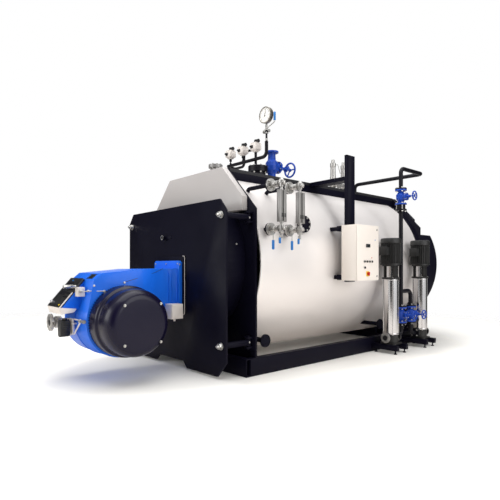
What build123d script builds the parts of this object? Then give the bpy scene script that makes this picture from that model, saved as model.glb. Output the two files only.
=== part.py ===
from build123d import *
import os
from math import cos, radians, sin, sqrt

os.makedirs("parts", exist_ok=True)

# Driving dimensions, millimetres. X = 0 is the centre plane, Y = 0 the front face of the front plate,
# Z = 0 the ground. The burner end faces -Y.

# Clearances
seat = 0.3
run_gap = 5.0

# Base frame
base_half_width = 1090.0
base_height = 200.0
base_front = -137.0
front_beam_rear = -60.0
base_rear = 3775.0
beam_flange = 80.0
beam_wall = 12.0
sole_thickness = 15.0
sole_rear = 120.0
rear_beam_height = 110.0
rear_beam_front = 3695.0
saddle_thickness = 30.0
saddle_places = (450.0, 3412.0)
saddle_bar_height = 80.0
saddle_half_width = 430.0
saddle_height = 190.0

# Shell
shell_radius = 1155.0
shell_wall = 15.0
shell_axis_height = 1272.0
cladding_rear = 3500.0
plate_thickness = 25.0
rear_plate_face = 3650.0
rear_plate_thickness = 35.0

# Front and rear plates, and the hoods on them
plate_shoulder_height = 1867.0
plate_top_height = 2400.0
plate_top_half_width = 580.0
hood_depth = 77.0
hood_half_width = 947.0
hood_foot_height = 1855.0

# Furnace
furnace_axis_height = 997.0
furnace_mouth_radius = 330.0
furnace_wall = 15.0

# Rear smokebox and flue collar
smokebox_radius = 1085.0
smokebox_rear = 4272.0
smokebox_flat_height = 1769.0
smokebox_edge = 22.0
flue_collar_radius = 225.0
flue_collar_wall = 12.0
flue_collar_height = 110.0
flue_place = 3985.0

# Top platform
platform_half_width = 594.0
platform_inner = 300.0
platform_top = 2402.0

# Front door
door_face = -419.0
door_sheet = 8.0
door_return = 24.0
door_half_width = 1090.0
door_top = 1942.0
door_top_half_width = 978.0
door_shoulder_height = 1810.0
door_leg_bottom = 27.0
door_leg_outer = 935.0
door_leg_inner = 347.0
door_notch_half_width = 270.0
door_notch_height = 101.0
door_corner_height = 196.0
drum_radius = 923.0
drum_flat_height = 1800.0
drum_wall = 60.0
drum_front_wall = 130.0
arm_place = 1007.0
arm_heights = (366.0, 1768.0)
arm_radius = 34.0
arm_height = 72.0
hinge_line = -40.0
pin_radius = 14.0
eye_radius = 31.0
lug_half_width = 40.0
lug_inner = 45.0
lug_thickness = 18.0
door_nut_flat = 58.0

# Burner
burner_axis = -1201.0
burner_axis_height = 642.0
scroll_radius = 391.0
scroll_half_width = 305.0
head_half_width = 282.0
duct_half_width = 246.0
duct_taper = (-967.0, -776.0)
head_bottom = 660.0
head_top = 1287.0
head_depth = 45.0
burner_plate_half_width = 327.0
burner_plate_bottom = 654.0
burner_plate_top = 1340.0
burner_plate_thickness = 20.0
burner_plate_corner = 28.0
blast_tube_radius = 205.0
blast_tube_wall = 12.0
blast_tube_end = 130.0
fan_ring_radius = 373.0
fan_ring_end = 486.0
fan_face_radius = 318.0
fan_face = 728.0
duct_bottom = 709.0
duct_top = 1195.0
seam_half_width = 4.0
seam_height = 7.0
housing_front_top = (-1513.0, 1075.0)
housing_front_bottom = (-1578.0, 743.0)
console_left = -288.0
console_right = 72.0
console_nose = -1783.0
console_low = 770.0
console_high = 1093.0
junction_box = (-573.0, 702.0)
gas_flange_face = -1774.0
gas_place = -240.0
gas_height = 616.0
gas_flange_radius = 92.5
gas_pipe_radius = 38.0
gas_actuator_bottom = 486.0
gas_actuator_height = 177.0
gas_actuator_width = 88.0
gas_actuator_depth = 96.0
shaft_offset = 85.0
shaft_radius = 12.0
bracket_thickness = 12.0

# Fittings on the shell top
steam_place = 1315.0
steam_flange_radius = 100.0
steam_flange_pcd = 160.0
steam_nozzle_top = 2500.0
steam_flange_top = 2928.0
steam_stem_rise = 207.0
steam_wheel_place = 1705.0
steam_wheel_radius = 119.0
steam_wheel_nose = 28.0
inspection_place = 1036.0
inspection_radius = 141.0
inspection_top = 2664.0
vent_place = 271.0
vent_radius = 93.5
vent_top = 2569.0
safety_places = (2766.0, 3052.0)
safety_flange_height = 2520.0
safety_height = 514.0
safety_outlet_rise = 100.0
manifold_place = 938.0
manifold_height = 2746.0
manifold_radius = 24.0
riser_place = 282.0
riser_rise = 207.0
cock_rise = 343.0
gauge_rise = 564.0
gauge_radius = 115.0
siphon_radius = 19.0
siphon_rise = 184.0
siphon_start = -47.0
siphon_bend = -305.0
siphon_drop = 30.0
switch_places = (-504.0, -217.0, 60.0)
switch_rise = 92.0
switch_width = 112.0
switch_height = 74.0
switch_taper = 32.0
lever_reach = 200.0
lever_grip = 118.0

# Level gauges
gauge_places = (140.0, 439.0)
gauge_pipe_heights = (1634.0, 2128.0)
gauge_pipe_radius = 24.0
gauge_head = 1182.0
gauge_flange_radius = 70.0
gauge_column_place = 1356.0
gauge_column_width = 96.0
gauge_column_depth = 43.0
gauge_column_bottom = 1702.0
gauge_column_top = 2051.0
gauge_cock_place = 1284.0
gauge_stem_reach = 50.0
gauge_lever_hang = 232.0
gauge_lever_grip = 104.0

# Side nozzles
blind_place = 787.0
blind_height = 1736.0
blind_radius = 102.0
drain_places = (226.0, 2600.0)
drain_height = 358.0
drain_radius = 75.0
drain_face = 1018.0

# Cable duct and cabinet
post_front = 1478.0
post_rear = 1648.0
post_outer = 1236.0
post_depth = 42.0
post_bottom = 1019.0
post_top = 2680.0
cross_duct_bottom = 2348.0
cross_duct_top = 2400.0
cabinet_back = 1275.0
cabinet_front_face = 1512.0
cabinet_left = 1310.0
cabinet_right = 1781.0
cabinet_bottom = 1042.0
cabinet_top = 1743.0
cabinet_wall = 12.0
cabinet_door_thickness = 20.0

# Feed line and pumps
feed_line_x = 1312.0
feed_pipe_radius = 30.0
feed_place = 2680.0
feed_top = 2664.0
feed_rear_place = 3306.0
feed_entry_x = 60.0
feed_valve_bottom = 2128.0
feed_valve_top = 2350.0
feed_flange_radius = 82.5
valve_stem_start = 140.0
valve_stem_reach = 215.0
small_wheel_radius = 70.0
small_hub_length = 18.0
run_places = (2680.0, 2951.0)
run_join_height = 860.0
run_valve_bottom = 400.0
run_valve_top = 630.0
pump_places = (2410.0, 3241.0)
pump_port_height = 216.0
pump_base_bottom = 122.0
pump_base_top = 260.0
pump_sleeve_radius = 104.0
pump_sleeve_top = 1042.0
pump_stool_top = 1247.0
pump_motor_radius = 146.0
pump_motor_top = 1625.0
skid_offset = 120.0
skid_outer = 1494.0
skid_bottom = 50.0
skid_channel_width = 60.0


# Shared shapes, added to whichever sub-part is being built
def facing(x, y, z, direction, across=None):
    """A plane at a point, looking along a direction, with its width level."""
    level = across or ((0, 1, 0) if direction[0] else (1, 0, 0))
    return Plane(origin=(x, y, z), x_dir=level, z_dir=direction)


def rod(plane, radius, length, mode=Mode.ADD):
    """A round bar standing on the plane."""
    with BuildSketch(plane) as section:
        Circle(radius)
    extrude(section.sketch, amount=length, mode=mode)


def block(plane, width, height, length):
    """A rectangular bar standing on the plane."""
    with BuildSketch(plane) as section:
        Rectangle(width, height)
    extrude(section.sketch, amount=length)


def flange(plane, radius, thickness, bolt_circle, bolts, bolt_radius):
    """A round flange standing on the plane, with its ring of bolt holes."""
    with BuildSketch(plane) as section:
        Circle(radius)
        with PolarLocations(bolt_circle, bolts, start_angle=180.0 / bolts):
            Circle(bolt_radius, mode=Mode.SUBTRACT)
    extrude(section.sketch, amount=thickness)


def turned(plane, *profile):
    """A solid turned about the plane's normal, from (radius, height) points."""
    side = Plane(origin=plane.origin, x_dir=plane.x_dir, z_dir=plane.x_dir.cross(plane.z_dir))
    with BuildSketch(side) as section:
        with BuildLine():
            Polyline(*profile, close=True)
        make_face()
    revolve(section.sketch, axis=Axis(plane.origin, plane.z_dir))


def pipe(radius, bend, *points):
    """A round pipe along straight runs joined by arcs."""
    with BuildLine() as route:
        if len(points) == 2:
            Line(*points)
        else:
            FilletPolyline(*points, radius=bend)
    with BuildSketch(Plane(origin=route.line @ 0, z_dir=route.line % 0)) as section:
        Circle(radius)
    sweep(section.sketch, path=route.line)


def handwheel(plane, radius, rim, spokes, hub_radius, hub_length):
    """A handwheel centred on the plane, with its rim, spokes and hub."""
    side = Plane(origin=plane.origin, x_dir=plane.x_dir, z_dir=plane.x_dir.cross(plane.z_dir))
    with BuildSketch(side) as section:
        with Locations((radius - rim, 0)):
            RegularPolygon(rim, 8, rotation=22.5)
    revolve(section.sketch, axis=Axis(plane.origin, plane.z_dir))
    rod(plane.offset(-hub_length / 2), hub_radius, hub_length)
    for index in range(spokes):
        angle = radians(360.0 * (index + 0.5) / spokes)
        arm = plane.x_dir * cos(angle) + plane.y_dir * sin(angle)
        rod(Plane(origin=plane.origin, z_dir=arm), rim * 0.7, radius - rim)


def clear_of_shell():
    """Cut whatever lies inside the cladding off the sub-part."""
    with BuildSketch(shell_front_plane) as section:
        Circle(shell_radius + seat)
    extrude(section.sketch, amount=rear_plate_face - plate_thickness, mode=Mode.SUBTRACT)


def shell_height(x):
    """Height of the cladding's top surface at a distance from the centre plane."""
    return shell_axis_height + sqrt(shell_radius ** 2 - x ** 2)


def shell_reach(z):
    """Half-width of the cladding at a height."""
    return sqrt(shell_radius ** 2 - (z - shell_axis_height) ** 2)


shell_front_plane = facing(0, plate_thickness, shell_axis_height, (0, 1, 0))

# Plate outline shared by the front plate, the rear plate and the rear hood
plate_outline = [
    (base_half_width - beam_flange - 1.0, sole_thickness),
    (base_half_width - beam_flange - 1.0, base_height),
    (base_half_width, base_height),
    (base_half_width, plate_shoulder_height),
    (plate_top_half_width, plate_top_height),
]

hood_shoulder = plate_shoulder_height + (base_half_width - hood_half_width) * (
    plate_top_height - plate_shoulder_height) / (base_half_width - plate_top_half_width)
hood_outline = [
    (hood_half_width, hood_foot_height),
    (hood_half_width, hood_shoulder),
    (plate_top_half_width, plate_top_height),
]


def mirrored(outline):
    """The closed left-right outline of a half outline."""
    return outline + [(-x, z) for x, z in reversed(outline)]


def plate(outline, y, thickness):
    """A plate upright in the XZ plane, from y towards the rear."""
    with BuildSketch(facing(0, y, 0, (0, 1, 0), (-1, 0, 0))) as section:
        with BuildLine():
            Polyline(*mirrored(outline), close=True)
        make_face()
    extrude(section.sketch, amount=thickness)


# Base frame
with BuildPart() as base_beams:
    with BuildSketch(facing(0, front_beam_rear + seat, 0, (0, 1, 0), (-1, 0, 0))):
        for side in (-1, 1):
            with Locations((side * (base_half_width - beam_flange / 2), base_height / 2)):
                Rectangle(beam_flange, base_height)
            with Locations((side * (base_half_width - beam_wall - beam_flange / 2), base_height / 2)):
                Rectangle(beam_flange, base_height - 2 * beam_wall, mode=Mode.SUBTRACT)
    extrude(amount=base_rear - front_beam_rear - seat)
base_beams.part.label = "base_beams"
export_step(base_beams.part, "parts/base_beams.step")

base_inner = base_half_width - beam_flange
with BuildPart() as base_cross_beams:
    with BuildSketch(Plane.YZ.offset(-base_half_width)):
        with Locations(((base_front + front_beam_rear) / 2, base_height / 2)):
            Rectangle(front_beam_rear - base_front, base_height)
            Rectangle(front_beam_rear - base_front - 2 * beam_wall, base_height - 2 * beam_wall, mode=Mode.SUBTRACT)
    extrude(amount=2 * base_half_width)
    with BuildSketch(Plane.YZ.offset(-base_inner)):
        with Locations(((front_beam_rear + sole_rear) / 2 - 5.0, sole_thickness / 2)):
            Rectangle(sole_rear - front_beam_rear + 10.0, sole_thickness)
        with Locations(((rear_beam_front + base_rear) / 2, rear_beam_height / 2)):
            Rectangle(base_rear - rear_beam_front, rear_beam_height)
        with Locations(((rear_plate_face + base_rear) / 2 - 20.0, sole_thickness / 2)):
            Rectangle(base_rear - rear_plate_face + 40.0, sole_thickness)
    extrude(amount=2 * base_inner)
    for y in saddle_places:
        with BuildSketch(facing(0, y - saddle_thickness / 2, 0, (0, 1, 0), (-1, 0, 0))):
            with Locations((0, saddle_bar_height / 2)):
                Rectangle(2 * base_inner, saddle_bar_height)
            with Locations((0, saddle_height / 2)):
                Rectangle(2 * saddle_half_width, saddle_height)
            with Locations((0, shell_axis_height)):
                Circle(shell_radius + seat, mode=Mode.SUBTRACT)
        extrude(amount=saddle_thickness)
base_cross_beams.part.label = "base_cross_beams"
export_step(base_cross_beams.part, "parts/base_cross_beams.step")

# Shell with its cladding, end ring, front plate and rear plate
with BuildPart() as shell_cladding:
    with BuildSketch(shell_front_plane):
        Circle(shell_radius)
        Circle(shell_radius - shell_wall, mode=Mode.SUBTRACT)
    extrude(amount=cladding_rear - plate_thickness)
shell_cladding.part.label = "shell_cladding"
export_step(shell_cladding.part, "parts/shell_cladding.step")

with BuildPart() as rear_end_ring:
    with BuildSketch(facing(0, cladding_rear, shell_axis_height, (0, 1, 0))):
        Circle(shell_radius)
        Circle(shell_radius - shell_wall, mode=Mode.SUBTRACT)
    extrude(amount=rear_plate_face - cladding_rear)
rear_end_ring.part.label = "rear_end_ring"
export_step(rear_end_ring.part, "parts/rear_end_ring.step")

with BuildPart() as front_plate:
    plate(plate_outline, 0, plate_thickness)
    with BuildSketch(facing(0, 0, furnace_axis_height, (0, 1, 0))):
        Circle(furnace_mouth_radius)
    extrude(amount=plate_thickness, mode=Mode.SUBTRACT)
front_plate.part.label = "front_plate"
export_step(front_plate.part, "parts/front_plate.step")

with BuildPart() as rear_plate:
    plate(plate_outline, rear_plate_face, rear_plate_thickness)
rear_plate.part.label = "rear_plate"
export_step(rear_plate.part, "parts/rear_plate.step")

with BuildPart() as furnace_tube:
    with BuildSketch(facing(0, plate_thickness, furnace_axis_height, (0, 1, 0))):
        Circle(furnace_mouth_radius + furnace_wall)
        Circle(furnace_mouth_radius, mode=Mode.SUBTRACT)
    extrude(amount=rear_plate_face - plate_thickness)
furnace_tube.part.label = "furnace_tube"
export_step(furnace_tube.part, "parts/furnace_tube.step")

with BuildPart() as front_hood:
    plate(hood_outline, -hood_depth, hood_depth)
front_hood.part.label = "front_hood"
export_step(front_hood.part, "parts/front_hood.step")

rear_plate_back = rear_plate_face + rear_plate_thickness
smokebox_place = facing(0, rear_plate_back, shell_axis_height, (0, 1, 0), (-1, 0, 0))
flat_offset = smokebox_flat_height - shell_axis_height
with BuildPart() as rear_smokebox:
    with BuildSketch(smokebox_place):
        Circle(smokebox_radius)
        with Locations((0, flat_offset + smokebox_radius)):
            Rectangle(2 * smokebox_radius, 2 * smokebox_radius, mode=Mode.SUBTRACT)
    extrude(amount=smokebox_rear - rear_plate_back)
    fillet(rear_smokebox.faces().sort_by(Axis.Y)[-1].edges(), radius=smokebox_edge)
rear_smokebox.part.label = "rear_smokebox"
export_step(rear_smokebox.part, "parts/rear_smokebox.step")

with BuildPart() as rear_hood:
    with BuildSketch(facing(0, rear_plate_back, 0, (0, 1, 0), (-1, 0, 0))):
        with BuildLine():
            Polyline(*mirrored(hood_outline), close=True)
        make_face()
        with Locations((0, shell_axis_height)):
            Circle(smokebox_radius + seat, mode=Mode.SUBTRACT)
    extrude(amount=hood_depth)
rear_hood.part.label = "rear_hood"
export_step(rear_hood.part, "parts/rear_hood.step")

with BuildPart() as flue_collar:
    with BuildSketch(Plane((0, flue_place, smokebox_flat_height))):
        Circle(flue_collar_radius)
        Circle(flue_collar_radius - flue_collar_wall, mode=Mode.SUBTRACT)
    extrude(amount=flue_collar_height)
    with BuildSketch(Plane((0, flue_place, smokebox_flat_height))):
        Circle(flue_collar_radius + 30.0)
        Circle(flue_collar_radius - flue_collar_wall, mode=Mode.SUBTRACT)
    extrude(amount=10.0)
flue_collar.part.label = "flue_collar"
export_step(flue_collar.part, "parts/flue_collar.step")

# Walkways along both sides of the shell's top, cut to its curve underneath
with BuildPart() as top_platform:
    with BuildSketch(facing(0, plate_thickness + seat, 0, (0, 1, 0), (-1, 0, 0))):
        for side in (-1, 1):
            low = shell_height(platform_half_width) - 40.0
            with Locations((side * (platform_half_width + platform_inner) / 2, (platform_top + low) / 2)):
                Rectangle(platform_half_width - platform_inner, platform_top - low)
        with Locations((0, shell_axis_height)):
            Circle(shell_radius + seat, mode=Mode.SUBTRACT)
    extrude(amount=rear_plate_face - plate_thickness - 2 * seat)
top_platform.part.label = "top_platform"
export_step(top_platform.part, "parts/top_platform.step")

# Cable duct, cross duct and cabinet with its rails
with BuildPart() as cable_duct:
    with BuildSketch(Plane.XY.offset(post_bottom)):
        with Locations((post_outer - post_depth / 2, (post_front + post_rear) / 2)):
            Rectangle(post_depth, post_rear - post_front)
            Rectangle(post_depth - 8.0, post_rear - post_front - 8.0, mode=Mode.SUBTRACT)
    extrude(amount=post_top - post_bottom)
    with BuildSketch(Plane.YZ.offset(platform_half_width)):
        with Locations(((post_front + post_rear) / 2, (cross_duct_bottom + cross_duct_top) / 2)):
            Rectangle(post_rear - post_front, cross_duct_top - cross_duct_bottom)
    extrude(amount=post_outer - post_depth - platform_half_width)
cable_duct.part.label = "cable_duct"
export_step(cable_duct.part, "parts/cable_duct.step")

rail_heights = (cabinet_bottom + 38.0, cabinet_top - 38.0)
rail_width = 68.0
foot_places = (cabinet_left + 45.0, cabinet_right - 45.0)
with BuildPart() as cabinet_rails:
    for z in rail_heights:
        block(facing(post_outer, cabinet_left + 5.0, z, (0, 1, 0), (-1, 0, 0)),
              2 * (cabinet_back - post_outer), rail_width, cabinet_right - cabinet_left - 10.0)
        for y in foot_places:
            reach = shell_reach(z - 25.0) - 8.0
            block(facing(reach, y, z, (1, 0, 0)), 50.0, 50.0, cabinet_back - reach)
    with BuildSketch(Plane.XY.offset(cabinet_bottom - 60.0)):
        with Locations((post_outer - 100.0, (post_front + post_rear) / 2)):
            Rectangle(200.0, post_rear - post_front + 2 * seat)
    extrude(amount=cabinet_top - cabinet_bottom + 120.0, mode=Mode.SUBTRACT)
    clear_of_shell()
cabinet_rails.part.label = "cabinet_rails"
export_step(cabinet_rails.part, "parts/cabinet_rails.step")

cabinet_middle = ((cabinet_left + cabinet_right) / 2, (cabinet_bottom + cabinet_top) / 2)
cabinet_size = (cabinet_right - cabinet_left, cabinet_top - cabinet_bottom)
door_plane_x = cabinet_front_face - cabinet_door_thickness
cabinet_hinge = (door_plane_x + 8.0, cabinet_right + 7.0)
with BuildPart() as cabinet_box:
    with BuildSketch(Plane.YZ.offset(cabinet_back)):
        with Locations(cabinet_middle):
            Rectangle(*cabinet_size)
    extrude(amount=door_plane_x - cabinet_back - 2.0)
    offset(amount=-cabinet_wall, openings=cabinet_box.faces().sort_by(Axis.X)[-1])
    for z in (cabinet_bottom + 120.0, cabinet_top - 120.0):
        rod(Plane((cabinet_hinge[0], cabinet_hinge[1], z - 30.0 - seat)), 6.0, 30.0)
        block(Plane((cabinet_hinge[0] - 24.0, cabinet_hinge[1] - 3.5, z - 30.0 - seat)), 48.0, 7.0, 30.0)
cabinet_box.part.label = "cabinet_box"
export_step(cabinet_box.part, "parts/cabinet_box.step")

with BuildPart() as cabinet_door:
    with BuildSketch(Plane.YZ.offset(door_plane_x)):
        with Locations(cabinet_middle):
            RectangleRounded(cabinet_size[0], cabinet_size[1], 6.0)
    extrude(amount=cabinet_door_thickness)
    for z in (cabinet_bottom + 120.0, cabinet_top - 120.0):
        rod(Plane((cabinet_hinge[0], cabinet_hinge[1], z)), 6.0, 55.0)
        block(Plane((cabinet_hinge[0] + 4.0, cabinet_hinge[1] - 5.0, z)), 8.0, 10.0, 55.0)
cabinet_door.part.label = "cabinet_door"
export_step(cabinet_door.part, "parts/cabinet_door.step")

with BuildPart() as cabinet_switches:
    switch_row = cabinet_bottom + 240.0
    for index in range(4):
        rod(facing(cabinet_front_face, cabinet_left + 150.0 + 55.0 * index, switch_row, (1, 0, 0)), 15.0, 12.0)
    block(facing(cabinet_front_face, cabinet_left + 230.0, switch_row + 200.0, (1, 0, 0)), 90.0, 45.0, 8.0)
    rod(facing(cabinet_front_face, cabinet_left + 225.0, cabinet_bottom + 85.0, (1, 0, 0)), 32.0, 10.0)
    block(facing(cabinet_front_face + 10.0, cabinet_left + 225.0, cabinet_bottom + 85.0, (1, 0, 0)),
          16.0, 56.0, 22.0)
cabinet_switches.part.label = "cabinet_switches"
export_step(cabinet_switches.part, "parts/cabinet_switches.step")

# Steam outlet: globe valve on its nozzle, with the stem towards the rear
steam_stem_height = steam_nozzle_top + steam_stem_rise
with BuildPart() as shell_nozzles:
    rod(Plane((0, steam_place, shell_height(0) - 2.0)), 45.0, steam_nozzle_top - shell_height(0) + 2.0)
    flange(Plane((0, steam_place, steam_nozzle_top - 22.0)), steam_flange_radius, 22.0,
           steam_flange_pcd / 2, 8, 9.0)
    reach = shell_reach(blind_height)
    rod(facing(reach - 30.0, blind_place, blind_height, (1, 0, 0)), 55.0, 80.0)
    flange(facing(reach + 28.0, blind_place, blind_height, (1, 0, 0)), blind_radius, 20.0, 80.0, 8, 8.0)
    flange(facing(reach + 48.0, blind_place, blind_height, (1, 0, 0)), blind_radius, 20.0, 80.0, 8, 8.0)
    for y in drain_places:
        start = shell_reach(drain_height) - 60.0
        rod(facing(start, y, drain_height, (1, 0, 0)), 30.0, drain_face - start)
        flange(facing(drain_face - 20.0, y, drain_height, (1, 0, 0)), drain_radius, 20.0, 55.0, 4, 8.0)
    for y in gauge_places:
        low, high = gauge_pipe_heights
        start = shell_reach(low) - 12.0
        rod(facing(start, y, low, (1, 0, 0)), gauge_pipe_radius, gauge_head - start)
        elbow = shell_reach(high) + 22.0
        pipe(gauge_pipe_radius, 40.0, (elbow, y, shell_height(elbow) - 30.0), (elbow, y, high), (gauge_head, y, high))
        for z in gauge_pipe_heights:
            flange(facing(gauge_head - 20.0, y, z, (1, 0, 0)), gauge_flange_radius, 20.0, 50.0, 4, 9.0)
    clear_of_shell()
shell_nozzles.part.label = "shell_nozzles"
export_step(shell_nozzles.part, "parts/shell_nozzles.step")

with BuildPart() as steam_valve:
    flange(Plane((0, steam_place, steam_nozzle_top)), steam_flange_radius, 22.0, steam_flange_pcd / 2, 8, 9.0)
    flange(Plane((0, steam_place, steam_flange_top - 24.0)), steam_flange_radius, 24.0,
           steam_flange_pcd / 2, 8, 9.0)
    steam_neck_top = steam_flange_top - steam_nozzle_top - 22.0
    turned(Plane((0, steam_place, steam_nozzle_top)),
           (0, 20), (62, 20), (58, steam_stem_rise - 120), (90, steam_stem_rise - 65), (98, steam_stem_rise),
           (90, steam_stem_rise + 55), (60, steam_stem_rise + 95), (56, steam_neck_top - 30),
           (64, steam_neck_top), (0, steam_neck_top))
    turned(facing(0, steam_place, steam_stem_height, (0, 1, 0)),
           (0, 0), (72, 0), (72, 110), (92, 112), (92, 140), (42, 150), (34, 210), (20, 215), (20, 235), (0, 235))
    for side in (-1, 1):
        block(facing(side * 30.0, steam_place + 140.0, steam_stem_height, (0, 1, 0)), 12.0, 26.0, 160.0)
    rod(facing(0, steam_place + 290.0, steam_stem_height, (0, 1, 0)), 42.0, 22.0)
    stem_start = steam_place + 200.0
    rod(facing(0, stem_start, steam_stem_height, (0, 1, 0)), 11.0,
        steam_wheel_place - steam_wheel_nose - seat - stem_start)
steam_valve.part.label = "steam_valve"
export_step(steam_valve.part, "parts/steam_valve.step")

with BuildPart() as steam_handwheel:
    wheel_plane = facing(0, steam_wheel_place, steam_stem_height, (0, 1, 0), (-1, 0, 0))
    handwheel(wheel_plane, steam_wheel_radius, 11.0, 3, 24.0, 30.0)
    rod(wheel_plane.offset(-steam_wheel_nose), 11.0, 2 * steam_wheel_nose + 12.0)
steam_handwheel.part.label = "steam_handwheel"
export_step(steam_handwheel.part, "parts/steam_handwheel.step")

# Nozzles along the shell's top
with BuildPart() as inspection_nozzle:
    rod(Plane((0, inspection_place, shell_height(0) - 2.0)), 110.0, inspection_top - 40.0 - shell_height(0))
    flange(Plane((0, inspection_place, inspection_top - 84.0)), inspection_radius, 40.0, 118.0, 8, 9.0)
    flange(Plane((0, inspection_place, inspection_top - 42.0)), inspection_radius, 42.0, 118.0, 8, 9.0)
    clear_of_shell()
inspection_nozzle.part.label = "inspection_nozzle"
export_step(inspection_nozzle.part, "parts/inspection_nozzle.step")

with BuildPart() as vent_nozzle:
    rod(Plane((0, vent_place, shell_height(0) - 2.0)), 45.0, vent_top - shell_height(0) - 20.0)
    flange(Plane((0, vent_place, vent_top - 40.0)), vent_radius, 20.0, 73.0, 8, 8.0)
    flange(Plane((0, vent_place, vent_top - 20.0)), vent_radius, 20.0, 73.0, 8, 8.0)
    clear_of_shell()
vent_nozzle.part.label = "vent_nozzle"
export_step(vent_nozzle.part, "parts/vent_nozzle.step")

with BuildPart() as safety_valves:
    for y in safety_places:
        rod(Plane((0, y, shell_height(0) - 2.0)), 42.0, 90.0)
        flange(Plane((0, y, safety_flange_height - 20.0)), 82.5, 20.0, 62.5, 4, 9.0)
        flange(Plane((0, y, safety_flange_height)), 82.5, 20.0, 62.5, 4, 9.0)
        turned(Plane((0, y, safety_flange_height)),
               (0, 0), (40, 0), (40, 40), (62, 70), (64, 130), (50, 170), (52, 215), (46, 220),
               (42, safety_height - 130), (48, safety_height - 115), (48, safety_height - 60),
               (30, safety_height - 45), (26, safety_height), (0, safety_height))
        rod(facing(0, y, safety_flange_height + safety_outlet_rise, (1, 0, 0)), 45.0, 120.0)
        flange(facing(110.0, y, safety_flange_height + safety_outlet_rise, (1, 0, 0)), 82.5, 20.0, 62.5, 4, 9.0)
        pipe(6.0, 10.0,
             (0, y, safety_flange_height + safety_height - 85.0),
             (70.0, y + 40.0, safety_flange_height + safety_height - 85.0),
             (105.0, y + 60.0, safety_flange_height + safety_height - 240.0))
    clear_of_shell()
safety_valves.part.label = "safety_valves"
export_step(safety_valves.part, "parts/safety_valves.step")

# Pressure manifold with its gauge, cock and switches
manifold_end = switch_places[0] - 60.0
riser_top = manifold_height + riser_rise
cock_height = manifold_height + cock_rise
gauge_height = manifold_height + gauge_rise
gauge_stem = gauge_height - gauge_radius - 12.0
with BuildPart() as pressure_manifold:
    pipe(manifold_radius, 75.0,
         (manifold_end, manifold_place, manifold_height),
         (riser_place, manifold_place, manifold_height),
         (riser_place, manifold_place, riser_top))
    pipe(siphon_radius, 55.0,
         (siphon_start, inspection_place, inspection_top),
         (siphon_start, inspection_place, manifold_height + siphon_rise),
         (siphon_bend, inspection_place, manifold_height + siphon_rise),
         (siphon_bend, inspection_place, manifold_height - siphon_drop),
         (manifold_end + 30.0, inspection_place, manifold_height - siphon_drop),
         (manifold_end + 30.0, manifold_place, manifold_height))
    for x in switch_places:
        rod(Plane((x, manifold_place, manifold_height)), 9.0, switch_rise + 5.0)
        with BuildSketch(Plane((x, manifold_place, manifold_height + switch_rise - 30.0))):
            RegularPolygon(19.0, 6)
        extrude(amount=30.0)
    rod(Plane((riser_place, manifold_place, riser_top)), 14.0, gauge_stem - riser_top)
    rod(Plane((riser_place, manifold_place, cock_height - 30.0)), 22.0, 60.0)
    rod(facing(riser_place - 42.0, manifold_place, cock_height, (1, 0, 0)), 18.0, 84.0)
    rod(facing(riser_place, manifold_place, cock_height, (0, -1, 0)), 12.0, 34.0)
pressure_manifold.part.label = "pressure_manifold"
export_step(pressure_manifold.part, "parts/pressure_manifold.step")

lever_plane = manifold_place - 34.0 - seat - 6.0
with BuildPart() as gauge_cock_lever:
    rod(facing(riser_place, lever_plane + 6.0, cock_height, (0, -1, 0)), 15.0, 12.0)
    pipe(5.0, 12.0,
         (riser_place, lever_plane, cock_height),
         (riser_place + lever_reach, lever_plane, cock_height + lever_reach * 0.4),
         (riser_place + lever_reach, lever_plane, cock_height + lever_reach * 0.4 + 25.0))
    rod(Plane((riser_place + lever_reach, lever_plane, cock_height + lever_reach * 0.4 + 15.0)), 12.0, lever_grip)
gauge_cock_lever.part.label = "gauge_cock_lever"
export_step(gauge_cock_lever.part, "parts/gauge_cock_lever.step")

with BuildPart() as pressure_gauge:
    gauge_plane = facing(riser_place, manifold_place - 30.0, gauge_height, (0, 1, 0))
    turned(gauge_plane,
           (0, 6), (gauge_radius - 8, 6), (gauge_radius - 8, 0), (gauge_radius, 0),
           (gauge_radius, 52), (gauge_radius - 10, 60), (0, 60))
    rod(Plane((riser_place, manifold_place, gauge_stem + seat)), 17.0, 16.0)
pressure_gauge.part.label = "pressure_gauge"
export_step(pressure_gauge.part, "parts/pressure_gauge.step")

with BuildPart() as pressure_switches:
    for x in switch_places:
        base = manifold_height + switch_rise + 5.0 + seat
        with BuildSketch(Plane((x, manifold_place, base))) as foot:
            Rectangle(switch_width * 0.45, switch_width * 0.45)
        with BuildSketch(Plane((x, manifold_place, base + switch_taper))) as belly:
            RectangleRounded(switch_width, switch_width, 10.0)
        loft([foot.sketch.face(), belly.sketch.face()])
        extrude(belly.sketch, amount=switch_height)
        rod(Plane((x + 12.0, manifold_place, base + switch_taper + switch_height)), 24.0, 38.0)
        rod(facing(x + 12.0, manifold_place, base + switch_taper + switch_height + 20.0, (1, 0, 0)), 13.0, 40.0)
pressure_switches.part.label = "pressure_switches"
export_step(pressure_switches.part, "parts/pressure_switches.step")

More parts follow.
